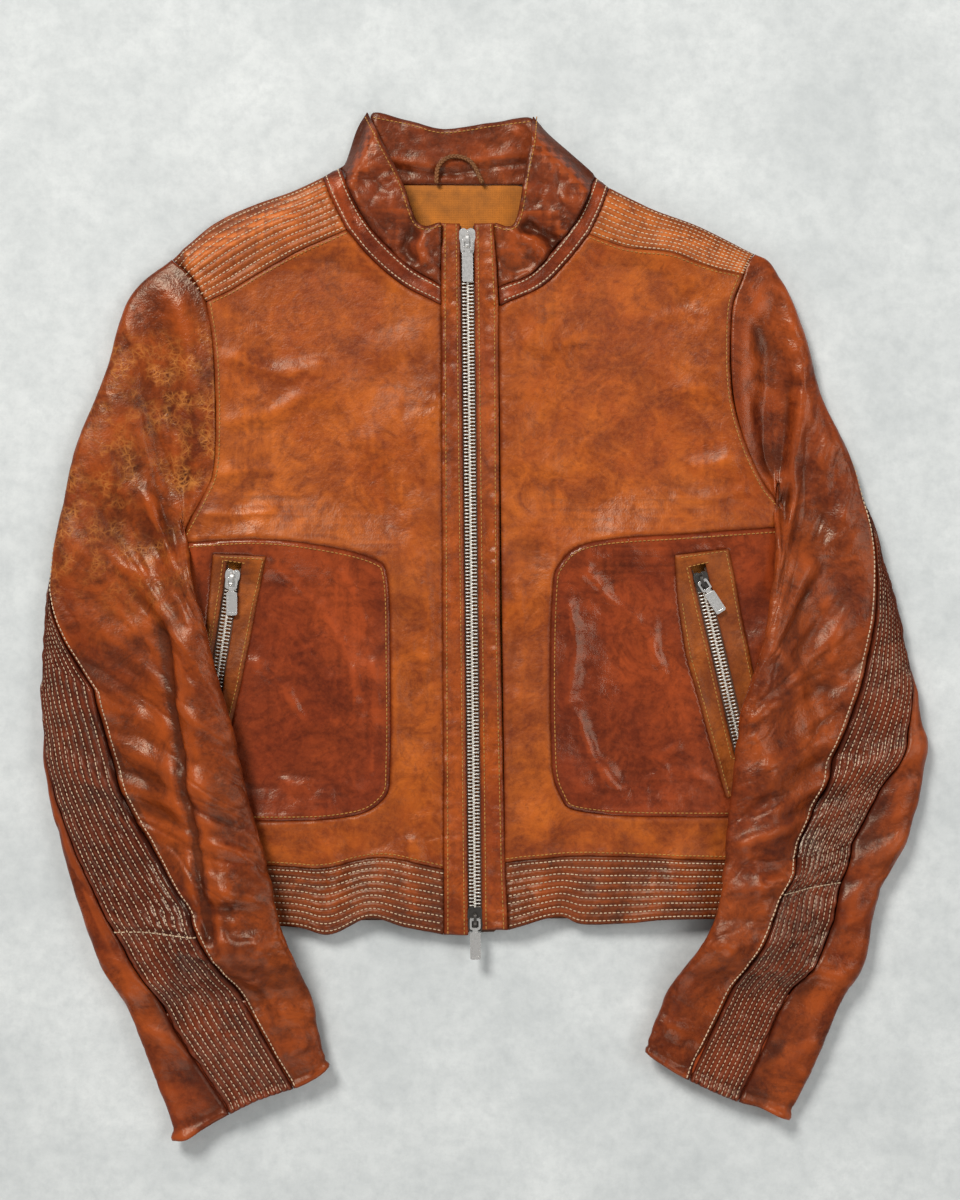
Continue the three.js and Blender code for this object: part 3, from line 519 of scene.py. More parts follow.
def panel(name, outline, height, material, thickness, holes, grid, rows):
    """A leather or cloth piece: its outline filled with points, raised to height, given its thickness."""
    plan, faces, loops = triangulate(outline, holes, grid)
    x, y = plan.T
    z = height(x, y)
    seam_distance = np.full(x.shape, 1e9)
    for loop in loops:
        seam_distance = np.minimum(seam_distance, distance_to(x, y, loop, closed=True))
    # darker near the seams: partly real burnish, partly painted shade in the seam grooves and, with rows, in the
    # stitch-row valleys
    valley = 0.5 * np.exp(-seam_distance / 11) + 0.5 * np.exp(-(seam_distance / 1.4) ** 2)
    if len(rows):
        row_distance = np.min([distance_to(x, y, row) for row in rows], axis=0)
        valley = np.maximum(valley, 0.5 * np.exp(-(row_distance / 0.8) ** 2))
    count = len(plan)
    top = np.column_stack([x, y, z])
    under = top - [0, 0, thickness]
    solid = [tuple(f) for f in faces] + [tuple(i + count for i in reversed(f)) for f in faces]
    solid += side_walls(faces, count)
    # height against the neighbourhood, which the leather shader turns into painted shade in hollows and painted
    # highlight on ridges
    relief = z - height_average(x, y, z)
    obj = make_object(name + "_visual", np.vstack([top, under]), solid, material,
                      seam=np.r_[valley, valley], relief=np.r_[relief, relief])
    return stand_for(obj, name)


def height_average(x, y, z, cell=7.0):
    """The mean height of each point's neighbourhood, by averaging over cells and blending between them."""
    ix, iy = ((x - x.min()) / cell).astype(int) + 1, ((y - y.min()) / cell).astype(int) + 1
    total = np.zeros((ix.max() + 2, iy.max() + 2))
    number = np.zeros_like(total)
    np.add.at(total, (ix, iy), z)
    np.add.at(number, (ix, iy), 1)
    mean = neighbour_sum(total, 1) / np.maximum(neighbour_sum(number, 1), 1)
    return mean[ix, iy]


def neighbour_sum(values, step):
    """The sum of each value and the eight at a step from it in a grid."""
    return sum(np.roll(np.roll(values, i, 0), j, 1) for i in (-step, 0, step) for j in (-step, 0, step))


def side_walls(faces, count):
    """Quads between the top and the under face along every open edge."""
    seen = dict.fromkeys((a, b) for f in faces for a, b in zip(f, list(f[1:]) + [f[0]]))
    return [(b, a, a + count, b + count) for a, b in seen if (b, a) not in seen]


def shell(name, outer, inner, material, node, burnish_and_seam_shade, relief):
    """A closed skin from an outer and an inner grid of points."""
    rows, columns = outer.shape[:2]
    layer = rows * columns
    index = np.arange(layer).reshape(rows, columns)
    a, b, c, d = index[:-1, :-1], index[1:, :-1], index[1:, 1:], index[:-1, 1:]
    quads = np.stack([a, b, c, d], -1).reshape(-1, 4)
    back = np.stack([a, d, c, b], -1).reshape(-1, 4) + layer
    walls = []
    for line in (index[:, 0][::-1], index[:, -1], index[0], index[-1][::-1]):
        walls += [(p, q, q + layer, p + layer) for p, q in zip(line[:-1], line[1:])]
    faces = quads.tolist() + back.tolist() + walls
    verts = np.vstack([outer.reshape(-1, 3), inner.reshape(-1, 3)])
    if (normals_of(outer) * (outer - inner)).sum(-1).mean() < 0:
        faces = [tuple(reversed(f)) for f in faces]
    obj = make_object(name, verts, faces, material, seam=np.tile(burnish_and_seam_shade.ravel(), 2),
                      relief=np.tile(relief.ravel(), 2))
    return stand_for(obj, node)


# ---- materials ----------------------------------------------------------------------------------
def node_tree(name):
    """A new material, its shader, a function that adds a node, and its links."""
    material = bpy.data.materials.new(name)
    material.use_nodes = True
    nodes, links = material.node_tree.nodes, material.node_tree.links
    shader = nodes["Principled BSDF"]

    def add(kind, inputs=None, **settings):
        n = nodes.new(kind)
        for key, value in settings.items():
            setattr(n, key, value)
        for key, value in (inputs or {}).items():
            if isinstance(value, bpy.types.NodeSocket):
                links.new(value, n.inputs[key])
            else:
                n.inputs[key].default_value = value
        return n

    return material, shader, add, links


def linear(rgb):
    """sRGB 0 to 255 as the linear colour that the shader takes."""
    c = np.array(rgb, float) / 255
    return (*np.where(c <= 0.04045, c / 12.92, ((c + 0.055) / 1.055) ** 2.4), 1.0)


def colour_mix(add, factor, a, b):
    """Colour a where the factor is 0, colour b where it is 1."""
    return add("ShaderNodeMix", {0: factor, 6: a, 7: b}, data_type="RGBA").outputs[2]


def maths(add, operation, a, b=0.0, clamp=False):
    """One sum, difference, product or other operation on two values."""
    return add("ShaderNodeMath", {0: a, 1: b}, operation=operation, use_clamp=clamp).outputs[0]


def spread(add, value, low, high, to_low=0.0, to_high=1.0):
    """The range low to high mapped to a new range, and held at its ends."""
    return add("ShaderNodeMapRange", {0: value, 1: low, 2: high, 3: to_low, 4: to_high}, clamp=True).outputs[0]


WARMTH = np.array([1.0, 0.87, 0.6])  # the finish is a transparent amber, so it warms every leather tone
BURNISH_AND_SEAM_SHADE = 0.75  # how much darker the leather is along its seams, partly rubbed-in burnish and partly painted shade in the seam grooves and stitch valleys
CRACKLE_TONE = (206, 128, 58)


def leather(name, light, mid, dark, roughness, seed, crackle=0.0, grain=1.0):
    """Washed, hand-rubbed leather: patchy colour, seams darkened by burnish and by painted shade, painted shade
    in hollows, painted highlight on ridges, pebbled grain.
    """
    light, mid, dark = (np.array(rgb) * WARMTH for rgb in (light, mid, dark))
    material, shader, add, links = node_tree(name)
    place = add("ShaderNodeTexCoord").outputs["Object"]
    shifted = add("ShaderNodeMapping", {"Vector": place, "Location": (seed, seed * 0.7, 0)}).outputs[0]

    def noise_of(scale, detail=4.0, rough=0.6, warp=0.0):
        return add("ShaderNodeTexNoise", {"Vector": shifted, "Scale": scale, "Detail": detail,
                                          "Roughness": rough, "Distortion": warp}).outputs["Fac"]

    # the dye: two tones, then stains, blotches, pale specks and dark pores
    patches = spread(add, noise_of(8.0, 6.0, 0.68, 0.8), 0.4, 0.58)
    blotches = spread(add, noise_of(34.0, 6.0, 0.74, 0.9), 0.42, 0.68)
    stains = spread(add, noise_of(15.0, 5.0, 0.66, 1.4), 0.46, 0.66)
    specks = spread(add, noise_of(260.0, 4.0, 0.65), 0.42, 0.7)
    pores = spread(add, noise_of(110.0, 7.0, 0.8, 0.4), 0.5, 0.72)
    colour = colour_mix(add, patches, linear(mid), linear(light))
    for layer, share, tone in ((stains, 0.7, dark * [1.1, 1.2, 1.2]), (blotches, 0.85, dark),
                               (specks, 0.3, light), (pores, 0.7, dark * 0.9)):
        colour = colour_mix(add, maths(add, "MULTIPLY", layer, share), colour, linear(tone))

    # painted light and wear: painted shade in the hollows, painted highlight on the ridges, and seams darkened
    # partly by dye that gathers there and partly as painted shade
    relief = add("ShaderNodeAttribute", attribute_name="relief").outputs["Fac"]
    burnish_and_seam_shade = add("ShaderNodeAttribute", attribute_name="seam").outputs["Fac"]
    # painted shade: the hollows of the folded leather darkened from the relief attribute
    hollow = spread(add, relief, -0.3, -1.9, 0.0, 0.62)
    # painted highlight: the ridges of the folded leather lightened from the relief attribute
    raised = spread(add, relief, 0.3, 1.8, 0.0, 0.58)
    colour = colour_mix(add, hollow, colour, linear(dark * 0.72))
    colour = colour_mix(add, raised, colour, linear(np.minimum(light * 1.12, 255)))
    # seams darkened partly by real burnish and partly as painted shade in the seam grooves, stitch rows and
    # quilting valleys
    uneven = spread(add, noise_of(30.0), 0.3, 0.65, 0.3, 1.25 * BURNISH_AND_SEAM_SHADE)
    colour = colour_mix(add, maths(add, "MULTIPLY", burnish_and_seam_shade, uneven, clamp=True), colour, linear(dark))
    if crackle:
        strength = crackle_lines(add, place, shifted, noise_of, crackle)
        colour = colour_mix(add, strength, colour, linear(CRACKLE_TONE))
    links.new(colour, shader.inputs["Base Color"])

    gloss = spread(add, noise_of(14.0, 3.0), 0.3, 0.7, roughness - 0.09, roughness + 0.1)
    gloss = maths(add, "ADD", gloss, maths(add, "MULTIPLY", specks, 0.08))
    links.new(gloss, shader.inputs["Roughness"])
    shader.inputs["Specular IOR Level"].default_value = 0.36
    shader.inputs["Specular Tint"].default_value = (1.0, 0.86, 0.66, 1.0)

    pebble = add("ShaderNodeTexVoronoi", {"Vector": shifted, "Scale": 620.0,
                                          "Randomness": 0.9}).outputs["Distance"]
    fine = add("ShaderNodeTexNoise", {"Vector": shifted, "Scale": 900.0, "Detail": 3.0}).outputs["Fac"]
    rumple = add("ShaderNodeTexNoise", {"Vector": shifted, "Scale": 120.0, "Detail": 4.0, "Distortion": 1.2})
    height = maths(add, "ADD", maths(add, "MULTIPLY", pebble, 0.30), maths(add, "MULTIPLY", fine, 0.2))
    height = maths(add, "ADD", height, maths(add, "MULTIPLY", rumple.outputs["Fac"], 1.5))
    if crackle:
        height = maths(add, "SUBTRACT", height, maths(add, "MULTIPLY", strength, 0.5))
    bump = add("ShaderNodeBump", {"Height": height, "Strength": 0.55 * grain, "Distance": 0.0006})
    links.new(bump.outputs[0], shader.inputs["Normal"])
    return material


def crackle_lines(add, place, shifted, noise_of, share):
    """A broken net of fine worn lines over the top of the sleeve, from 0 to share."""
    wander = add("ShaderNodeTexNoise", {"Vector": shifted, "Scale": 60.0, "Detail": 5.0}).outputs["Color"]
    bend = add("ShaderNodeVectorMath", {0: wander, "Scale": 0.011}, operation="SCALE").outputs[0]
    bent = add("ShaderNodeVectorMath", {0: shifted, 1: bend}, operation="ADD").outputs[0]
    nets = []
    for scale, width in ((190.0, 0.17), (380.0, 0.2)):
        cell = add("ShaderNodeTexVoronoi", {"Vector": bent, "Scale": scale}, feature="DISTANCE_TO_EDGE")
        nets.append(spread(add, cell.outputs["Distance"], 0.0, width, 1.0, 0.0))
    lines = maths(add, "MAXIMUM", nets[0], maths(add, "MULTIPLY", nets[1], 0.6))
    along = add("ShaderNodeSeparateXYZ", {0: place}).outputs[1]
    worn = maths(add, "MULTIPLY", spread(add, along, -0.02, 0.09), spread(add, along, 0.25, 0.19))
    worn = maths(add, "MULTIPLY", worn, spread(add, noise_of(16.0), 0.40, 0.56))
    worn = maths(add, "MULTIPLY", worn, spread(add, noise_of(75.0, 2.0), 0.42, 0.62))
    return maths(add, "MULTIPLY", maths(add, "MULTIPLY", lines, worn), share)


def thread(name, rgb):
    """Matt, slightly fuzzy sewing thread."""
    material, shader, add, links = node_tree(name)
    place = add("ShaderNodeTexCoord").outputs["Object"]
    fuzz = add("ShaderNodeTexNoise", {"Vector": place, "Scale": 1800.0, "Detail": 2.0}).outputs["Fac"]
    tone = add("ShaderNodeTexNoise", {"Vector": place, "Scale": 60.0, "Detail": 2.0}).outputs["Fac"]
    colour = colour_mix(add, fuzz, linear(np.array(rgb) * 0.7), linear(rgb))
    colour = colour_mix(add, spread(add, tone, 0.4, 0.65, 0, 0.45), colour, linear(np.array(rgb) * 0.55))
    links.new(colour, shader.inputs["Base Color"])
    shader.inputs["Roughness"].default_value = 0.7
    bump = add("ShaderNodeBump", {"Height": fuzz, "Strength": 0.5, "Distance": 0.0002})
    links.new(bump.outputs[0], shader.inputs["Normal"])
    return material


def cloth(name, rgb, weave=1400.0):
    """Plain woven cloth, faded in patches."""
    material, shader, add, links = node_tree(name)
    place = add("ShaderNodeTexCoord").outputs["Object"]
    faded = add("ShaderNodeTexNoise", {"Vector": place, "Scale": 45.0, "Detail": 5.0, "Roughness": 0.65})
    weaving = {"Vector": place, "Scale": weave / 6, "Distortion": 1.5, "Detail": 1.0}
    warp, weft = (add("ShaderNodeTexWave", weaving, bands_direction=direction).outputs["Fac"]
                  for direction in ("X", "Y"))
    threads = maths(add, "MULTIPLY", warp, weft)
    tone = spread(add, faded.outputs["Fac"], 0.35, 0.68)
    colour = colour_mix(add, tone, linear(np.array(rgb) * 0.74), linear(rgb))
    colour = colour_mix(add, maths(add, "MULTIPLY", threads, 0.25), colour, linear(np.array(rgb) * 0.6))
    links.new(colour, shader.inputs["Base Color"])
    shader.inputs["Roughness"].default_value = 0.85
    shader.inputs["Sheen Weight"].default_value = 0.15
    bump = add("ShaderNodeBump", {"Height": threads, "Strength": 0.5, "Distance": 0.0003})
    links.new(bump.outputs[0], shader.inputs["Normal"])
    return material


def metal(name, rgb, roughness):
    """Cast zip metal, brushed and a little worn."""
    material, shader, add, links = node_tree(name)
    place = add("ShaderNodeTexCoord").outputs["Object"]
    wear = add("ShaderNodeTexNoise", {"Vector": place, "Scale": 420.0, "Detail": 5.0,
                                      "Roughness": 0.7}).outputs["Fac"]
    brushed = add("ShaderNodeMapping", {"Vector": place, "Scale": (4000.0, 500.0, 4000.0)}).outputs[0]
    lines = add("ShaderNodeTexNoise", {"Vector": brushed, "Scale": 1.0, "Detail": 2.0}).outputs["Fac"]
    colour = colour_mix(add, spread(add, wear, 0.5, 0.8), linear(rgb), linear(np.array(rgb) * 0.75))
    links.new(colour, shader.inputs["Base Color"])
    links.new(spread(add, wear, 0.3, 0.7, roughness - 0.08, roughness + 0.16), shader.inputs["Roughness"])
    shader.inputs["Metallic"].default_value = 0.86
    bump = add("ShaderNodeBump", {"Height": lines, "Strength": 0.08, "Distance": 0.00005})
    links.new(bump.outputs[0], shader.inputs["Normal"])
    return material


TONES = {  # for each leather its light, middle and dark tone, its roughness and the shift of its pattern
    "front": ((194, 112, 46), (162, 82, 34), (108, 46, 24), 0.40, 0.0),
    "pocket": ((166, 82, 52), (132, 60, 42), (82, 32, 24), 0.2, 1.3),
    "sleeve": ((160, 82, 42), (122, 54, 30), (70, 25, 16), 0.3, 2.1),
    "crackled": ((158, 80, 34), (116, 48, 21), (66, 24, 12), 0.34, 3.7),
    "quilt": ((124, 62, 48), (92, 42, 34), (50, 20, 17), 0.22, 4.4),
    "yoke": ((206, 126, 68), (168, 90, 46), (112, 52, 28), 0.40, 5.2),
    "hem": ((152, 79, 37), (109, 50, 26), (62, 25, 14), 0.36, 6.1),
    "trim": ((160, 76, 42), (122, 50, 29), (74, 25, 16), 0.28, 7.3),
    "collar": ((164, 84, 45), (124, 57, 34), (70, 29, 18), 0.30, 8.5),
    "placket": ((192, 104, 46), (152, 72, 38), (96, 40, 24), 0.34, 9.1),
    "welt": ((176, 104, 44), (146, 80, 32), (100, 46, 20), 0.44, 10.4),
}
MATERIALS = {name: leather("leather_" + name, *tones, crackle=0.75 if name == "crackled" else 0.0,
                           grain=0.6 if name == "pocket" else 1.0) for name, tones in TONES.items()}
MATERIALS |= {
    "lining": cloth("lining_cloth", (204, 118, 24)),
    "tape": cloth("zip_tape", (92, 58, 36), 2600.0),
    "cream": thread("thread_cream", (250, 218, 178)),
    "gold": thread("thread_gold", (214, 150, 66)),
    "braid": thread("thread_braid", (150, 92, 44)),
    "teeth": metal("zip_teeth", (255, 250, 240), 0.3),
    "silver": metal("slider_silver", (250, 248, 244), 0.2),
    "dark": metal("slider_dark", (92, 88, 84), 0.3),
}


# ---- cloth simulation ---------------------------------------------------------------------------
SETTLE_FRAMES = 24


def settle(name, width, length, cell, growth, pinned):
    """Heights in mm of the folds of a sheet that grows inside its pinned seams."""
    columns, rows = int(width / cell) + 1, int(length / cell) + 1
    x, y = np.meshgrid(np.linspace(0, width, columns), np.linspace(0, length, rows))
    start = 1.2 * fractal(x / 40, y / 30, 2, len(name))
    index = np.arange(rows * columns).reshape(rows, columns)
    quads = np.stack([index[:-1, :-1], index[:-1, 1:], index[1:, 1:], index[1:, :-1]], -1).reshape(-1, 4)
    mesh = bpy.data.meshes.new(name)
    mesh.from_pydata((np.column_stack([x.ravel(), y.ravel(), start.ravel()]) * MM).tolist(), [], quads.tolist())
    obj = bpy.data.objects.new(name, mesh)
    bpy.context.scene.collection.objects.link(obj)
    hold = obj.vertex_groups.new(name="held")
    weight = pinned(x, y).ravel()
    for k, value in enumerate(weight):
        if value > 0.01:
            hold.add([k], float(value), "REPLACE")
    cloth_settings = obj.modifiers.new("cloth", "CLOTH").settings
    cloth_settings.quality = 5
    cloth_settings.mass = 0.4
    cloth_settings.tension_stiffness = 25
    cloth_settings.compression_stiffness = 25
    cloth_settings.shear_stiffness = 12
    cloth_settings.bending_stiffness = 1.2
    cloth_settings.shrink_min = -growth
    cloth_settings.vertex_group_mass = "held"
    cloth_settings.pin_stiffness = 1.0
    cloth_settings.effector_weights.gravity = 0.15
    for step in range(1, SETTLE_FRAMES + 1):
        bpy.context.scene.frame_set(step)
    made = obj.evaluated_get(bpy.context.evaluated_depsgraph_get()).to_mesh()
    moved = np.empty(len(made.vertices) * 3)
    made.vertices.foreach_get("co", moved)
    bpy.data.objects.remove(obj)
    bpy.context.scene.frame_set(1)
    heights = blurred(moved.reshape(-1, 3)[:, 2].reshape(rows, columns) / MM, 1, 3)
    return np.clip(heights - blurred(heights, 2, 5), -3, 4)


def blurred(values, reach, times):
    """A grid averaged over the square of neighbours within reach, several times."""
    rows, columns = values.shape
    size = range(2 * reach + 1)
    for _ in range(times):
        padded = np.pad(values, reach, mode="edge")
        values = sum(padded[i:i + rows, j:j + columns] for i in size for j in size) / len(size) ** 2
    return values


def sample(heights, u, v):
    """The height at shares u across and v along, blended between the sheet's points."""
    rows, columns = heights.shape
    x, y = np.clip(u, 0, 1) * (columns - 1), np.clip(v, 0, 1) * (rows - 1)
    i, j = np.minimum(x.astype(int), columns - 2), np.minimum(y.astype(int), rows - 2)
    fx, fy = x - i, y - j
    low = mix(heights[j, i], heights[j, i + 1], fx)
    return mix(low, mix(heights[j + 1, i], heights[j + 1, i + 1], fx), fy)


def body_pins(x, y):
    """The front is held at its edges, its zip and the pocket seams."""
    px, py = x + BODY_LOW[0], y + BODY_LOW[1]
    nearest = np.minimum(SIDE_X - np.abs(px), np.abs(px + 8) - 24)
    nearest = np.minimum(nearest, np.minimum(py + 180, 300 - py))
    for side in ("right", "left"):
        nearest = np.minimum(nearest, distance_to(px, py, seam(side, "pocket", 20), closed=True) * 1.5)
        nearest = np.minimum(nearest, distance_to(px, py, seam(side, "arm_low", 20)))
    return 1 - 0.98 * smooth(nearest / 18)


def sleeve_pins(x, y):
    """A sleeve is held along its edges and at the armhole."""
    return 1 - 0.98 * smooth(np.minimum(np.minimum(x, SLEEVE_SPAN - x), y) / 22)


BODY_FOLDS = settle("body_folds", BODY_SIZE[0], BODY_SIZE[1], 6.5, 0.03, body_pins)
SLEEVE_FOLD_MAPS = {
    "right": settle("sleeve_folds_right", SLEEVE_SPAN, SLEEVE_RUN, 6.0, 0.06, sleeve_pins),
    "left": settle("sleeve_folds_left_", SLEEVE_SPAN, SLEEVE_RUN, 6.0, 0.05, sleeve_pins),
}


def front_map():
    """Heights of the front's outer face, one for each millimetre."""
    x, y = np.meshgrid(*(np.arange(size + 1) + low for size, low in zip(MAP_SIZE, BODY_LOW)))
    settled = sample(BODY_FOLDS, (x - BODY_LOW[0]) / BODY_SIZE[0], (y - BODY_LOW[1]) / BODY_SIZE[1])
    z = front_height(x, y) + 1.6 * settled * smooth((np.abs(x + 8.5) - 10) / 20)
    return np.maximum(z, front_base(x, y) - 2.2)


FRONT_MAP = front_map()


def front_surface(x, y):
    """The front's height anywhere, in mm."""
    return sample(FRONT_MAP, (x - BODY_LOW[0]) / MAP_SIZE[0], (y - BODY_LOW[1]) / MAP_SIZE[1])


# ---- panels -------------------------------------------------------------------------------------
def declare_sheet(outline):
    """The piece's plan width, length and cut area, worked out and not used."""
    width, length = np.ptp(outline, axis=0) * MM
    cut = abs(area(outline)) * MM * MM
    cut = float(np.clip(cut, 0.31 * width * length, width * length))


def lift_of(surface, outline, rows, edge, puff):
    """The panel's own height: the surface, a roll and a dip along each seam, and puffs between its rows."""
    def height(x, y):
        d = distance_to(x, y, outline, closed=True)
        z = surface(x, y) + edge * (0.5 * np.exp(-((d - 3.2) / 2.0) ** 2) - 0.42 * np.exp(-(d / 1.0) ** 2))
        if len(rows):
            row_distance = np.min([distance_to(x, y, row) for row in rows], axis=0)
            z = z + puff * (smooth(row_distance / 2.4) - 0.5)
        return z
    return height


def stitches(name, lines, material, pitch=3.3, length=2.6, radius=0.48):
    """Thread stitches along lines, each a pair of points and surface normals. Each bows out of the leather."""
    places, along, up = [], [], []

    def at_run(values, run, at):
        return np.stack([np.interp(at, run, values[:, k]) for k in range(3)], 1)

    for points, normals in lines:
        run = np.r_[0, np.cumsum(np.linalg.norm(np.diff(points, axis=0), axis=1))]
        if run[-1] < pitch * 1.5:
            continue
        at = np.arange(pitch / 2, run[-1] - pitch / 2, pitch)
        places.append(at_run(points, run, at))
        along.append(at_run(points, run, at + 1) - at_run(points, run, at - 1))
        up.append(at_run(normals, run, at))
    centre, ahead, out = np.vstack(places), np.vstack(along), np.vstack(up)
    ahead /= np.linalg.norm(ahead, axis=1, keepdims=True) + 1e-9
    out -= (out * ahead).sum(1, keepdims=True) * ahead
    out /= np.linalg.norm(out, axis=1, keepdims=True) + 1e-9
    side = np.cross(ahead, out)
    rings = np.array([-1.0, -0.72, 0.0, 0.72, 1.0])
    angles = np.arange(5) * 2 * math.pi / 5
    size = radius * np.array([0.35, 0.85, 1.0, 0.85, 0.35])
    jitter = 0.9 + 0.2 * (np.abs(lattice(np.arange(len(centre)), np.arange(len(centre)) * 7, 3)))
    reach = (rings * length / 2)[None, :, None, None] * jitter[:, None, None, None]
    bow = (0.55 * (1 - rings ** 2) - 0.3)[:, None] + size[:, None] * np.sin(angles)
    verts = (centre[:, None, None] + ahead[:, None, None] * reach
             + side[:, None, None] * (size[:, None] * np.cos(angles))[None, :, :, None]
             + out[:, None, None] * bow[None, :, :, None])
    index = np.arange(25).reshape(5, 5)
    turned_index = np.roll(index, -1, 1)
    quads = np.stack([index[:-1], turned_index[:-1], turned_index[1:], index[1:]], -1).reshape(-1, 4)
    offsets = np.arange(len(centre))[:, None, None] * 25
    faces = (quads[None] + offsets).reshape(-1, 4).tolist()
    caps = np.array([index[0][::-1], index[-1]])
    faces += (caps[None] + offsets).reshape(-1, 5).tolist()
    obj = make_object(name, verts.reshape(-1, 3), faces, material)


def stitch_lines(lines, height):
    """Points and normals on a panel for each stitch line, from plan points and the panel's height function."""
    lines = [respace(line, max(2, int(length_of(line) / 2.5))) for line in lines]
    x, y = np.vstack(lines).T
    shifted_x, shifted_y = np.r_[x, x + 1, x - 1, x, x], np.r_[y, y, y, y + 1, y - 1]
    z, east, west, north, south = height(shifted_x, shifted_y).reshape(5, -1)
    slopes = np.clip(np.column_stack([west - east, south - north]) / 2, -0.8, 0.8)
    normals = np.column_stack([slopes, np.ones(len(x))])
    cuts = np.cumsum([len(line) for line in lines])[:-1]
    return list(zip(np.split(np.column_stack([x, y, z + 0.1]), cuts), np.split(normals, cuts)))


def rows_between(a, b, count):
    """Rows that step evenly from line a to line b."""
    a, b = respace(np.asarray(a, float), 60), respace(np.asarray(b, float), 60)
    return [mix(a, b, (k + 0.5) / count) for k in range(count)]


def sewn_panel(name, outline, surface, material, slot, rows=(), topstitch=(), yarn="gold", puff=0.0, edge=1.0,
               holes=(), thickness=LEATHER, grid=GRID):
    """A panel with its stitch rows and topstitch lines."""
    height = lift_of(surface, outline, rows, edge, puff)
    obj = panel(name, outline, height, MATERIALS[material], thickness, holes, grid, rows)
    declare_sheet(outline)
    if len(rows) or len(topstitch):
        stitches("stitches_" + name, stitch_lines([*rows, *topstitch], height), MATERIALS[yarn])


def beside(line, distance):
    """A topstitch line this far to the left of a seam line, negative for the right."""
    return offset(np.asarray(line, float), distance, closed=False)


def toward(line, point, distance):
    """The line moved by a distance to the side that a point is on."""
    moved = [beside(line, distance), beside(line, -distance)]
    return min(moved, key=lambda points: np.hypot(*(points - np.asarray(point, float)).T).mean())


def slot_round(zip_line, half, before=6, after=6):
    """The four-cornered opening that a zip's chain shows through."""
    head, foot = np.array(zip_line, float)
    along = (foot - head) / np.hypot(*(foot - head))
    across = half * np.array([-along[1], along[0]])
    head, foot = head - before * along, foot + after * along
    return np.array([head + across, head - across, foot - across, foot + across])


def raised_front(rise):
    """The front's height function, lifted."""
    return lambda x, y: front_surface(x, y) + rise


SEAM_LINES = ("shoulder", "band_high", "band_low", "band_inner", "yoke_foot", "arm_top", "arm_low", "pocket",
              "hem_top", "hem_foot", "leaf", "collar_side")
for side, sign in (("right", -1), ("left", 1)):
    seams = SEAMS[side]
    line = {key: seam(side, key) for key in SEAM_LINES}
    placket = np.array(seams["placket"], float)
    front_centre = (sign * 110, 120)
    front = ring(line["band_low"], placket[1:2], line["hem_top"][::-1], line["pocket"][::-1], line["arm_low"],
                 line["yoke_foot"][::-1])
    sewn_panel(f"front_panel_{side}", front, front_surface, "front", "front_leather", topstitch=[
        toward(line["arm_low"], front_centre, 3.2), toward(line["hem_top"], front_centre, 3.2),
        toward(line["yoke_foot"], front_centre, 2.6), toward(line["pocket"], (sign * 150, -40), -3.2)])

    welt = np.array(seams["welt"], float)
    sewn_panel(f"pocket_panel_{side}", ring(line["pocket"]), front_surface, "pocket", "pocket_leather",
               holes=[welt])
    chain_slot = slot_round(seams["pocket_zip"], 5.6)
    sewn_panel(f"pocket_welt_{side}", welt, raised_front(0.5), "welt", "welt_leather", holes=[chain_slot],
               topstitch=[offset(welt, 3.0), offset(chain_slot, -3.0)], grid=1.6)

    yoke = ring(line["shoulder"], line["band_high"], line["yoke_foot"], line["arm_top"])
    sewn_panel(f"shoulder_yoke_{side}", yoke, front_surface, "yoke", "yoke_leather", yarn="cream",
               rows=rows_between(line["shoulder"], line["yoke_foot"][::-1], 9), puff=1.1, grid=1.5)

    band = ring(line["band_high"], line["band_low"], line["band_inner"][::-1])
    outer_line = respace(np.vstack([line["band_high"], line["band_low"][1:]]), 80)
    inner_line = respace(line["band_inner"], 80)
    sewn_panel(f"neck_band_{side}", band, raised_front(0.6), "trim", "trim_leather",
               topstitch=[mix(outer_line, inner_line, 0.17), mix(outer_line, inner_line, 0.83)],
               yarn="cream", grid=1.6)

    hem = ring(line["hem_top"], placket[-1:], line["hem_foot"][::-1])
    sewn_panel(f"hem_band_{side}", hem, front_surface, "hem", "hem_leather",
               rows=rows_between(line["hem_top"], line["hem_foot"], 9), yarn="cream", puff=1.2, grid=1.5)

    window_y = np.linspace(placket[-1][1], 302, 90)
    window = np.column_stack([main_x(window_y) + sign * WINDOW * 0.72, window_y])
    placket_line = respace(placket, 160)
    outer_point = placket[2 if side == "right" else 1]
    sewn_panel(f"placket_{side}", ring(placket_line, window), raised_front(0.4), "placket", "placket_leather",
               topstitch=[toward(placket_line, (main_x(0), 0), 3.0), toward(window, outer_point, 3.0)],
               grid=1.7)

    leaf = ring(line["band_inner"], line["leaf"], line["collar_side"])
    sewn_panel(f"collar_{side}", leaf, collar_height, "collar", "collar_leather", topstitch=[
        toward(line["leaf"], line["collar_side"].mean(0), 3.0)], thickness=2.2, grid=1.7, edge=1.3)


# ---- back, collar inside, lining ----------------------------------------------------------------
def level_of(node, wave=0.0):
    """A height function at the top of a CAD node, in mm, with an optional soft wave under it."""
    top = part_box(node)[1][2] / MM

    def height(x, y):
        return top - wave + wave * fractal(x / 26, y / 22, 3, 91)
    return height


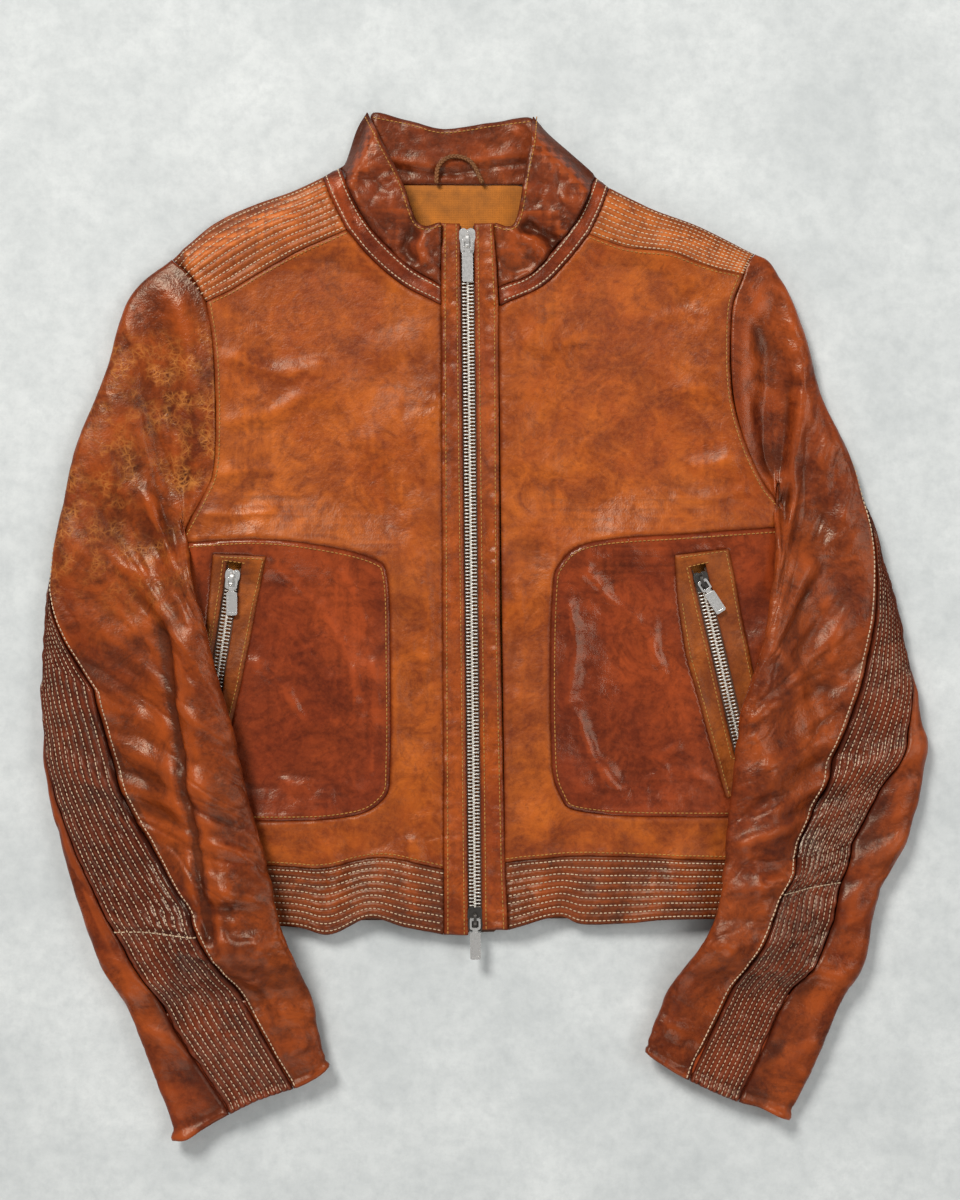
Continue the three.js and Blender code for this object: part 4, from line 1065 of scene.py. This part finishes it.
right, left = SEAMS["right"], SEAMS["left"]
across_top = ring(spline(right["shoulder"], 40), [(-112, 338), (-60, 333), (26, 333), (88, 333)],
                  spline(left["shoulder"], 40)[::-1])
back = ring(across_top, spline(left["arm_top"], 12)[::-1], spline(left["arm_low"], 60)[::-1],
            [(228, -18), (226, -175), (-227, -175), (-228, -18)], spline(right["arm_low"], 60),
            spline(right["arm_top"], 12))
plain = dict(grid=4.0, edge=0.3)
sewn_panel("back_panel", offset(back, 2.0), level_of("back_panel", 0.3), "front", "front_leather", **plain)
hem_back = [(226, -177), (220, -220), (-219, -224), (-227, -177)]
sewn_panel("hem_band_back", ring(hem_back), level_of("hem_band_back", 0.3), "hem", "hem_leather",
           rows=rows_between([(225, -180), (-226, -180)], [(219, -218), (-218, -221)], 8), yarn="cream",
           puff=0.4, grid=2.2, edge=0.3)
back_lining = ring([(-60, 333.1), (-112, 322), (-198, 290), (-190, 240), (-186, 130), (-208, 70), (-212, -205),
                    (212, -205), (208, 90), (176, 150), (176, 240), (182, 276), (88, 318), (26, 333.1)])
sewn_panel("back_lining", back_lining, level_of("back_lining", 0.2), "lining", "lining_cloth", thickness=0.5,
           **plain)
for side, sign in (("right", -1), ("left", 1)):
    zip_side = sign * 22 - 8
    lining = ring([(zip_side, -208), (sign * 205, -208), (sign * 205, 90), (sign * 180, 150), (sign * 178, 250),
                   (sign * 100, 275), (zip_side, 225)])
    sewn_panel(f"front_lining_{side}", lining, level_of(f"front_lining_{side}", 1.6), "lining", "lining_cloth",
               thickness=0.5, **plain)
    (x0, y0), (x1, y1) = [np.array(corner[:2]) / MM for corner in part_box(f"pocket_bag_{side}")]
    round_bag = spline([(x0 + 8, y0), (x1 - 8, y0), (x1, y0 + 14), (x1, y1 - 8), (x1 - 10, y1), (x0 + 10, y1),
                        (x0, y1 - 10), (x0, y0 + 14), (x0 + 8, y0)], 60)
    sewn_panel(f"pocket_bag_{side}", ring(round_bag), level_of(f"pocket_bag_{side}", 1.4), "lining",
               "lining_cloth", thickness=0.6, **plain)

COLLAR_BACK = [(-60, 333.4), (26, 333.4), (74, 334), (60, 356), (44, 371), (36, 384), (7, 380), (-29, 375),
               (-57, 382), (-84, 387), (-76, 362), (-100, 334)]


def collar_back_height(x, y):
    """The inside of the collar's back leans up to its top edge, creased where it folds."""
    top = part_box("collar_back")[1][2] / MM
    rise = smooth((y - 334) / 44)
    waves = 1.0 * noise(x / 15, y / 12, 61) + 0.5 * fractal(x / 8, y / 7, 2, 63)
    sway = 4 * np.sin(x / 21)
    fold = -1.6 * np.exp(-((y - 346 - sway) / 3.0) ** 2) + 1.2 * np.exp(-((y - 352 - sway) / 4.0) ** 2)
    roll = -1.5 * smooth((y - 376) / 10)
    return top + rise * 3.2 + roll + (waves + fold) * smooth((y - 334) / 8) - 0.4


back_line = spline(COLLAR_BACK[3:11], 60)
sewn_panel("collar_back", ring(COLLAR_BACK[:3], back_line, COLLAR_BACK[10:]), collar_back_height, "collar",
           "collar_leather", topstitch=[toward(spline(COLLAR_BACK[5:10], 40), (-20, 340), 3.2)], grid=1.7)


# ---- sleeves ------------------------------------------------------------------------------------
STRIP_RANGE = (0.0005, 0.997)  # the share of a sleeve's length that its pieces cover


def sleeve_strip(node, side, from_turn, to_turn, material, rows, columns, channels=0):
    """One lengthwise piece of a sleeve. Gives back its outer points, their normals and the run across."""
    s = np.linspace(*STRIP_RANGE, rows + 1)[:, None] * np.ones((1, columns + 1))
    v = np.linspace(0, 1, columns + 1)[None, :] * np.ones((rows + 1, 1))
    low, high = from_turn(s[:, 0]) * math.pi + 0.006, to_turn(s[:, 0]) * math.pi - 0.006
    turn = mix(low[:, None], high[:, None], v)
    base = sleeve_base(side, s, turn)
    normal = normals_of(base)
    middle = sleeve_base(side, s[:, 0], np.full(rows + 1, math.pi / 2), 7.0)
    if (normal * (base - middle[:, None])).sum(-1).mean() < 0:
        normal = -normal
    steps_across = np.linalg.norm(np.diff(base, axis=1), axis=-1)
    run = np.concatenate([np.zeros((rows + 1, 1)), np.cumsum(steps_across, axis=1)], axis=1)
    from_seam = np.minimum(run, run[:, -1:] - run)
    on_top = np.clip(np.sin(turn), 0, 1) ** 0.5
    settled = sample(SLEEVE_FOLD_MAPS[side], 0.5 - np.cos(turn) / 2, s)
    relief = sleeve_relief(side, s, turn, base) + 1.43 * on_top * settled
    # darker near the seams: partly real burnish, partly painted shade in the seam grooves
    burnish_and_seam_shade = 0.5 * np.exp(-from_seam / 11) + 0.5 * np.exp(-(from_seam / 1.4) ** 2)
    if channels:
        channel = np.abs(np.sin(math.pi * v * channels))
        cross = np.abs(s - SLEEVES[side]["cross_seam"]) * SLEEVE_RUN
        relief = relief * mix(1, 0.6, smooth(from_seam / 14)) + 1.5 * (channel ** 0.6 - 0.6)
        relief = relief + 0.7 * noise(s * SLEEVE_RUN / 5.5, v * channels, 33)
        relief = relief - 0.9 * np.exp(-(cross / 1.5) ** 2)
        # painted shade in the quilting valleys; the cross seam darkened partly by burnish and partly as painted
        # shade
        burnish_and_seam_shade = np.maximum(burnish_and_seam_shade, 0.45 * np.exp(-(channel / 0.25) ** 2))
        burnish_and_seam_shade = np.maximum(burnish_and_seam_shade, 0.8 * np.exp(-(cross / 2.2) ** 2))
    relief = relief + 0.5 * np.exp(-((from_seam - 3.2) / 2.0) ** 2) - 0.7 * np.exp(-(from_seam / 1.1) ** 2)
    lip = (1 - s) * SLEEVE_RUN
    relief = relief + 1.3 * np.exp(-((lip - 4) / 3.0) ** 2) - 0.8 * np.exp(-((lip - 9) / 2.4) ** 2)
    relief = relief + 2.4 * noise(turn * 2.3, s * 30, 47) * smooth((s - 0.95) / 0.04)
    relief = np.where(base[..., 2] < 6, np.clip(relief, -1.5, 0.1), relief)
    outer = base + normal * np.clip(relief, -6, 7)[..., None]
    outer[..., 2] = np.maximum(outer[..., 2], OUTER_LEAST)
    inner = outer - normal * LEATHER
    inner[..., 2] = np.maximum(inner[..., 2], INNER_LEAST)
    # relief against the neighbourhood, which the leather shader turns into painted shade in hollows and painted
    # highlight on ridges
    centred = relief - neighbour_sum(relief, 4) / 9
    obj = shell(node + "_visual", outer, inner, MATERIALS[material], node, burnish_and_seam_shade, centred)
    return outer, normal, run


def underarm(s):
    """The underarm seam, in half turns round the sleeve, where the front piece begins."""
    return np.full(np.shape(s), -0.12)


def under_again(s):
    """The same seam, where the back piece ends."""
    return np.full(np.shape(s), 1.88)


def grid_line(outer, normal, column):
    """A stitch line down a sleeve grid at a fractional column."""
    low = min(int(column), outer.shape[1] - 2)
    t = column - low
    return mix(outer[:, low], outer[:, low + 1], t) + normal[:, low] * 0.15, normal[:, low]


FRONT_COLUMNS = 74
QUILT_ROWS, QUILT_COLUMNS, CHANNELS = 360, 88, 11
for side in ("right", "left"):
    inner_edge = functools.partial(sleeve_table, side, "quilt_inner")
    outer_edge = functools.partial(sleeve_table, side, "quilt_outer")
    face = "crackled" if side == "right" else "sleeve"
    outer, normal, run = sleeve_strip(f"sleeve_front_{side}", side, underarm, inner_edge, face,
                                      330, FRONT_COLUMNS)
    lines = [grid_line(outer, normal, FRONT_COLUMNS * (1 - 3.2 / run[:, -1].mean()))]
    outer, normal, run = sleeve_strip(f"sleeve_quilt_{side}", side, inner_edge, outer_edge, "quilt",
                                      QUILT_ROWS, QUILT_COLUMNS, CHANNELS)
    lines += [grid_line(outer, normal, QUILT_COLUMNS * k / CHANNELS) for k in range(1, CHANNELS)]
    cross_row = int((SLEEVES[side]["cross_seam"] - 0.004) / 0.993 * QUILT_ROWS) + 2
    lines.append((outer[cross_row, ::2] + normal[cross_row, ::2] * 0.2, normal[cross_row, ::2]))
    stitches(f"stitches_sleeve_{side}", lines, MATERIALS["cream"], pitch=3.5, length=2.8, radius=0.52)
    sleeve_strip(f"sleeve_back_{side}", side, outer_edge, under_again, "sleeve", 300, 60)

    s = np.linspace(0.86, 0.992, 30)[:, None] * np.ones((1, 61))
    turn = np.linspace(-0.2, 1.2, 61)[None, :] * math.pi * np.ones((30, 1))
    outer, inner = sleeve_base(side, s, turn, 4.2), sleeve_base(side, s, turn, 4.9)
    blank = np.zeros(s.shape)
    facing = shell(f"cuff_facing_{side}_visual", outer, inner, MATERIALS["trim"],
                   f"cuff_facing_{side}", blank, blank)


# ---- zips ---------------------------------------------------------------------------------------
TOOTH_PITCH = 2.7


class ZipAxes:
    """A zip's own axes: +Y to the slider's wide end, +Z out of the garment, z = 0 at the chain."""

    def __init__(self, head, foot, z, scale=1.0, flipped=False):
        along = np.array(head, float) - np.array(foot, float)
        self.length = float(np.hypot(*along)) / scale
        self.across = np.array([along[1], -along[0], 0]) / np.hypot(*along) * (-1 if flipped else 1)
        self.ahead = np.array([along[0], along[1], 0]) / np.hypot(*along)
        self.out = np.array([0, 0, -1.0 if flipped else 1.0])
        self.origin = np.array([*head, z], float)
        self.scale = scale

    def world(self, points):
        """Points on the zip's axes as points of the garment, in mm."""
        p = np.asarray(points, float) * self.scale
        return self.origin + p[..., :1] * self.across + p[..., 1:2] * self.ahead + p[..., 2:] * self.out


def tooth_shape():
    """One tooth on its tape, reaching past the middle: rounded head, waist and root."""
    sections = [(-0.95, 0.42, 0.9), (-0.4, 0.62, 1.25), (0.5, 0.66, 1.3), (1.2, 0.5, 1.05), (2.2, 0.52, 1.1),
                (3.2, 0.7, 1.35), (4.2, 0.66, 1.3), (4.5, 0.45, 1.0)]
    ring_points = [(1, 0.55), (0.55, 1), (-0.55, 1), (-1, 0.55), (-1, -0.55), (-0.55, -1), (0.55, -1),
                   (1, -0.55)]
    verts = [(x, half * a, tall * b) for x, half, tall in sections for a, b in ring_points]
    faces = []
    for k in range(len(sections) - 1):
        faces += [(8 * k + i, 8 * k + (i + 1) % 8, 8 * k + 8 + (i + 1) % 8, 8 * k + 8 + i) for i in range(8)]
    faces += [tuple(range(7, -1, -1)), tuple(range(8 * len(sections) - 8, 8 * len(sections)))]
    return np.array(verts), faces


def teeth(name, node, axes, sides, top, foot):
    """Rows of teeth from foot to top, the left row half a pitch ahead of the right one."""
    tooth, tooth_faces = tooth_shape()
    verts, faces = [], []
    for sign in sides:
        shift = 0 if sign > 0 else TOOTH_PITCH / 2
        for y in np.arange(foot + shift, top, TOOTH_PITCH):
            wander = 0.06 * lattice(np.array([int(y * 10)]), np.array([sign]), 8)[0]
            base = len(verts) * len(tooth)
            faces += [tuple(i + base for i in (f if sign > 0 else f[::-1])) for f in tooth_faces]
            verts.append(axes.world(tooth * [sign, 1, 1] + [0, y + wander, 0.1 * wander]))
    obj = make_object(name, np.vstack(verts), faces, MATERIALS["teeth"], smooth_faces=False)
    bevel = obj.modifiers.new("soft edges", "BEVEL")
    bevel.width, bevel.segments = 0.12 * MM, 1
    stand_for(obj, node)


def tape(name, node, axes, outlines):
    """Woven tape strips, with a thicker cord along the teeth."""
    verts, faces = [], []
    for points in outlines:
        plan, tris, _ = triangulate(np.array(points, float), (), 1.6)
        x, y = plan.T
        z = 0.3 + 0.35 * np.exp(-((np.abs(x) - 4.6) / 0.7) ** 2) + 0.05 * np.sin(y * 4)
        base, count = sum(len(v) for v in verts), len(plan)
        verts.append(axes.world(np.column_stack([x, y, z])))
        verts.append(axes.world(np.column_stack([x, y, z - 0.6])))
        solid = tris + [[i + count for i in f[::-1]] for f in tris] + [list(q) for q in side_walls(tris, count)]
        faces += [[i + base for i in f] for f in solid]
    obj = make_object(name, np.vstack(verts), faces, MATERIALS["tape"])
    stand_for(obj, node)


def strip(sign, inner, outer, top, foot):
    """A long rectangle beside the chain."""
    return [(sign * inner, foot), (sign * outer, foot), (sign * outer, top), (sign * inner, top)]


def extruded(points, low, high, holes=()):
    """A flat plate of an outline, as verts and faces."""
    loops = [np.array(loop, float) for loop in (points, *holes)]
    loops = [loop if (area(loop) > 0) == (k == 0) else loop[::-1] for k, loop in enumerate(loops)]
    flat, edges = [], []
    for loop in loops:
        first = len(flat)
        flat += [Vector(p) for p in loop]
        edges += [(first + i, first + (i + 1) % len(loop)) for i in range(len(loop))]
    made, _, tris, *_ = delaunay_2d_cdt(flat, edges, [], 4 if holes else 2, 1e-5)
    plan = np.array([(p.x, p.y) for p in made])
    if holes:
        tris = outside_holes(plan, tris, loops)
    count = len(plan)
    verts = np.vstack([np.column_stack([plan, np.full(count, z)]) for z in (high, low)])
    faces = [list(f) for f in tris] + [[i + count for i in reversed(f)] for f in tris]
    return verts, faces + [list(q) for q in side_walls(tris, count)]


def rounded(half_width, top, foot, radius, steps=6):
    """A rectangle with rounded corners, from x = -half_width to half_width."""
    corners = [(half_width - radius, top - radius, 0), (-half_width + radius, top - radius, 90),
               (-half_width + radius, foot + radius, 180), (half_width - radius, foot + radius, 270)]
    bends = [(x, y, math.radians(a + 90 * k / steps)) for x, y, a in corners for k in range(steps + 1)]
    return [(x + radius * math.cos(bend), y + radius * math.sin(bend)) for x, y, bend in bends]


def joined(parts):
    """Several pairs of verts and faces as one."""
    verts, faces, base = [], [], 0
    for part_verts, part_faces in parts:
        verts.append(np.asarray(part_verts, float))
        faces += [[i + base for i in f] for f in part_faces]
        base += len(part_verts)
    return np.vstack(verts), faces


def swept(path, radius, around):
    """A round bar along 3-D points."""
    tangent = np.gradient(path, axis=0)
    tangent /= np.linalg.norm(tangent, axis=1, keepdims=True)
    guide = np.array([0.31, 0.22, 0.92])
    first = np.cross(tangent, guide)
    first /= np.linalg.norm(first, axis=1, keepdims=True)
    second = np.cross(tangent, first)
    angle = np.arange(around) * 2 * math.pi / around
    ring_of = first[:, None] * np.cos(angle)[:, None] + second[:, None] * np.sin(angle)[:, None]
    index = np.arange(len(path) * around).reshape(len(path), around)
    beside_index = np.roll(index, -1, 1)
    quads = np.stack([index[:-1], beside_index[:-1], beside_index[1:], index[1:]], -1).reshape(-1, 4)
    faces = quads.tolist() + [index[0][::-1].tolist(), index[-1].tolist()]
    return (path[:, None] + radius * ring_of).reshape(-1, 3), faces


def slider_shape(width, length):
    """Top and bottom plates with the wide shoulders, side flanges, the divider and the bridge."""
    w, l = width / 2, length / 2
    plan = spline([(0, -l), (w * 0.6, -l), (w * 0.8, -l * 0.75), (w * 0.86, -l * 0.1), (w, l * 0.3),
                   (w * 0.92, l * 0.8), (w * 0.5, l), (w * 0.18, l * 0.93), (0, l * 0.84)], 40)
    outline = np.vstack([plan, (plan * [-1, 1])[::-1][1:-1]])
    bridge = spline([(-4.0, 2.4), (-3.7, 4.4), (-2.8, 5.5), (0, 6.0), (2.8, 5.5), (3.7, 4.4), (4.0, 2.4)], 28)
    bridge_under = offset(bridge, -1.2 if area(bridge) > 0 else 1.2, closed=False)
    arch_verts, arch_faces = extruded(np.vstack([bridge, bridge_under[::-1]]), -1.1, 1.1)
    divider = rounded(0.35, l * 0.7, l * 0.1, 0.3)
    parts = [extruded(outline, 1.6, 2.5), extruded(offset(outline, 1.3), 2.4, 2.85),
             extruded(outline, -2.8, -1.6), (arch_verts[:, [2, 0, 1]], arch_faces), extruded(divider, -1.7, 1.7)]
    for sign in (-1, 1):
        x0, x1 = sorted((sign * (w - 1.3), sign * w * 0.99))
        flange = [(x0, l * 0.05), (x1, l * 0.1), (x1, l * 0.58), (x0, l * 0.6)]
        parts += [extruded(flange, 0.7, 1.7), extruded(flange, -1.7, -0.7)]
    return joined(parts)


def pull_shape(length):
    """Eye, narrow neck and a long tab with a raised rim round a sunk panel."""
    eye = rounded(4.0, 1.1, -7.6, 1.6)
    window = rounded(2.6, -0.9, -6.2, 0.9)
    neck = [(-2.2, -7.2), (2.2, -7.2), (1.9, -8.6), (2.2, -10.4), (-2.2, -10.4), (-1.9, -8.6)]
    tab = rounded(4.0, -9.6, -length, 1.3)
    panel_hole = rounded(2.7, -11.6, -length + 1.9, 0.8)
    return joined([extruded(eye, -0.7, 0.7, [window]), extruded(neck, -0.6, 0.6),
                   extruded(tab, -0.7, 0.7, [panel_hole]),
                   extruded(rounded(2.9, -11.4, -length + 1.7, 0.8), -0.3, 0.3)])


def turned(verts, angle):
    """Verts turned about +Z."""
    x, y, z = verts.T
    c, s = math.cos(angle), math.sin(angle)
    return np.column_stack([x * c - y * s, x * s + y * c, z])


def slider_and_pull(slider, pull, axes, y, size, pull_length, bodies, finish="silver", reverse=False, yaw=0.0):
    """A slider and its pull on their own bodies, in place of the CAD ones."""
    verts, faces = slider_shape(*size)
    tab_verts, tab_faces = pull_shape(pull_length)
    mirrored = np.linalg.det(np.array([axes.across, axes.ahead, axes.out])) < 0
    for node, shape, shape_faces, place, body, look in (
            (slider, turned(verts, math.pi if reverse else 0), faces, [0, y, 0], bodies[0], finish),
            (pull, turned(tab_verts, yaw), tab_faces, [0, y, 3.9], bodies[1], "silver")):
        shape_faces = [f[::-1] for f in shape_faces] if mirrored else shape_faces
        obj = make_object(node + "_visual", axes.world(shape + place), shape_faces, MATERIALS[look], body,
                          smooth_faces=False)
        bevel = obj.modifiers.new("soft edges", "BEVEL")
        bevel.width, bevel.segments, bevel.limit_method = 0.22 * MM, 2, "ANGLE"
        stand_for(obj, node)


main = ZipAxes(MAIN_TOP, MAIN_FOOT, CHAIN_Z)
for side, sign in (("right", -1), ("left", 1)):
    teeth(f"main_teeth_{side}_visual", f"main_teeth_{side}", main, [sign], -6, 3 - main.length)
    tape(f"main_tape_{side}_visual", f"main_tape_{side}", main, [strip(sign, 4.3, 15.5, 2, -main.length - 13)])
slider_and_pull("main_slider_top", "main_pull_top", main, -9.5, (12.4, 19), 31,
                ("main_top_slider", "main_top_pull"))
slider_and_pull("main_slider_bottom", "main_pull_bottom", main, -3 - main.length, (13.4, 18), 30,
                ("main_bottom_slider", "main_bottom_pull"), finish="dark", reverse=True)

for side, finish, pull_yaw in (("right", "silver", 8.8), ("left", "dark", 19.5)):
    pocket = ZipAxes(*SEAMS[side]["pocket_zip"], CHAIN_Z)
    cuff = ZipAxes(*SEAMS[side]["cuff_zip"], FLOOR_GAP + CUFF_LIFT + LEATHER + 1, 0.8, flipped=True)
    for kind, axes, gap in (("pocket", pocket, 0), ("cuff_zip", cuff, 4)):
        length = axes.length - gap
        teeth(f"{kind}_teeth_{side}_visual", f"{kind}_teeth_{side}", axes, [-1, 1], -4, -length + 1)
        tape(f"{kind}_tape_{side}_visual", f"{kind}_tape_{side}", axes,
             [strip(-1, 4.3, 9, 3, -length - 8), strip(1, 4.3, 9, 3, -length - 8)])
    slider_and_pull(f"pocket_slider_{side}", f"pocket_pull_{side}", pocket, -7, (11, 15), 27,
                    (f"pocket_{side}_slider", f"pocket_{side}_pull"), finish, yaw=math.radians(pull_yaw))
    slider_and_pull(f"cuff_zip_slider_{side}", f"cuff_zip_pull_{side}", cuff, -7, (11, 15), 24,
                    (f"cuff_zip_{side}_slider", f"cuff_zip_{side}_pull"))


# ---- hanger loop --------------------------------------------------------------------------------
loop_z = (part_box("hanger_loop")[0][2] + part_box("hanger_loop")[1][2]) / 2 / MM
loop_line = spline([(-35, 334), (-33, 347), (-23, 354), (-9, 350), (0, 334)], 90)
side_way = offset(loop_line, 1.0, closed=False) - loop_line
strands = []
for phase in (0, 2 * math.pi / 3, 4 * math.pi / 3):
    wind = np.linspace(0, 14 * math.pi, len(loop_line)) + phase
    strands.append(swept(np.column_stack([loop_line + 0.95 * side_way * np.sin(wind)[:, None],
                                          loop_z + 1.6 + 0.75 * np.sin(2 * wind)]), 0.85, 8))
loop = make_object("hanger_loop_visual", *joined(strands), MATERIALS["braid"])
stand_for(loop, "hanger_loop")


# ---- floor, lights, camera ----------------------------------------------------------------------
floor_material, floor_shader, add, links = node_tree("plaster_floor")
place = add("ShaderNodeTexCoord").outputs["Object"]
cloudy, speckled = (add("ShaderNodeTexNoise", {"Vector": place, "Scale": scale, "Detail": detail,
                                               "Roughness": rough}).outputs["Fac"]
                    for scale, detail, rough in ((9.0, 9.0, 0.72), (90.0, 6.0, 0.75)))
tint = colour_mix(add, spread(add, cloudy, 0.35, 0.65), linear((199, 203, 202)), linear((221, 224, 222)))
tint = colour_mix(add, spread(add, speckled, 0.42, 0.7, 0, 0.4), tint, linear((176, 181, 181)))
links.new(tint, floor_shader.inputs["Base Color"])
floor_shader.inputs["Roughness"].default_value = 0.9
floor_bump = add("ShaderNodeBump", {"Height": speckled, "Strength": 0.25, "Distance": 0.001})
links.new(floor_bump.outputs[0], floor_shader.inputs["Normal"])
bpy.ops.mesh.primitive_plane_add(size=8, location=(0, 0, 0))
floor = bpy.context.object
floor.name = "floor"
floor.data.materials.append(floor_material)


def area_light(name, location, size, watts, colour=(1, 1, 1)):
    """A round soft light that faces the middle of the jacket."""
    light = bpy.data.lights.new(name, "AREA")
    light.shape, light.size, light.energy, light.color = "DISK", size, watts, colour
    obj = bpy.data.objects.new(name, light)
    obj.location = location
    obj.rotation_euler = (-Vector(location)).to_track_quat("-Z", "Y").to_euler()
    bpy.context.scene.collection.objects.link(obj)


area_light("key", (-1.3, 2.1, 2.6), 1.2, 105, (1.0, 0.98, 0.96))
area_light("fill", (1.4, 0.2, 1.7), 1.2, 12, (0.98, 0.99, 1.0))
area_light("low", (-0.4, -1.8, 1.4), 1.4, 9)
world = bpy.context.scene.world or bpy.data.worlds.new("studio")
bpy.context.scene.world = world
world.use_nodes = True
background = world.node_tree.nodes["Background"]
background.inputs["Color"].default_value = (1.0, 0.99, 0.98, 1)
background.inputs["Strength"].default_value = 0.26
bpy.context.scene.view_settings.view_transform = "Standard"

camera_data = bpy.data.cameras.new("camera")
camera_data.lens = 60
camera_data.sensor_width = 36
camera_data.sensor_fit = "AUTO"
camera = bpy.data.objects.new("camera", camera_data)
camera.location = (-0.0019, 0.0195, 1.515)
camera.rotation_euler = (0, 0, 0)
bpy.context.scene.collection.objects.link(camera)
bpy.context.scene.camera = camera
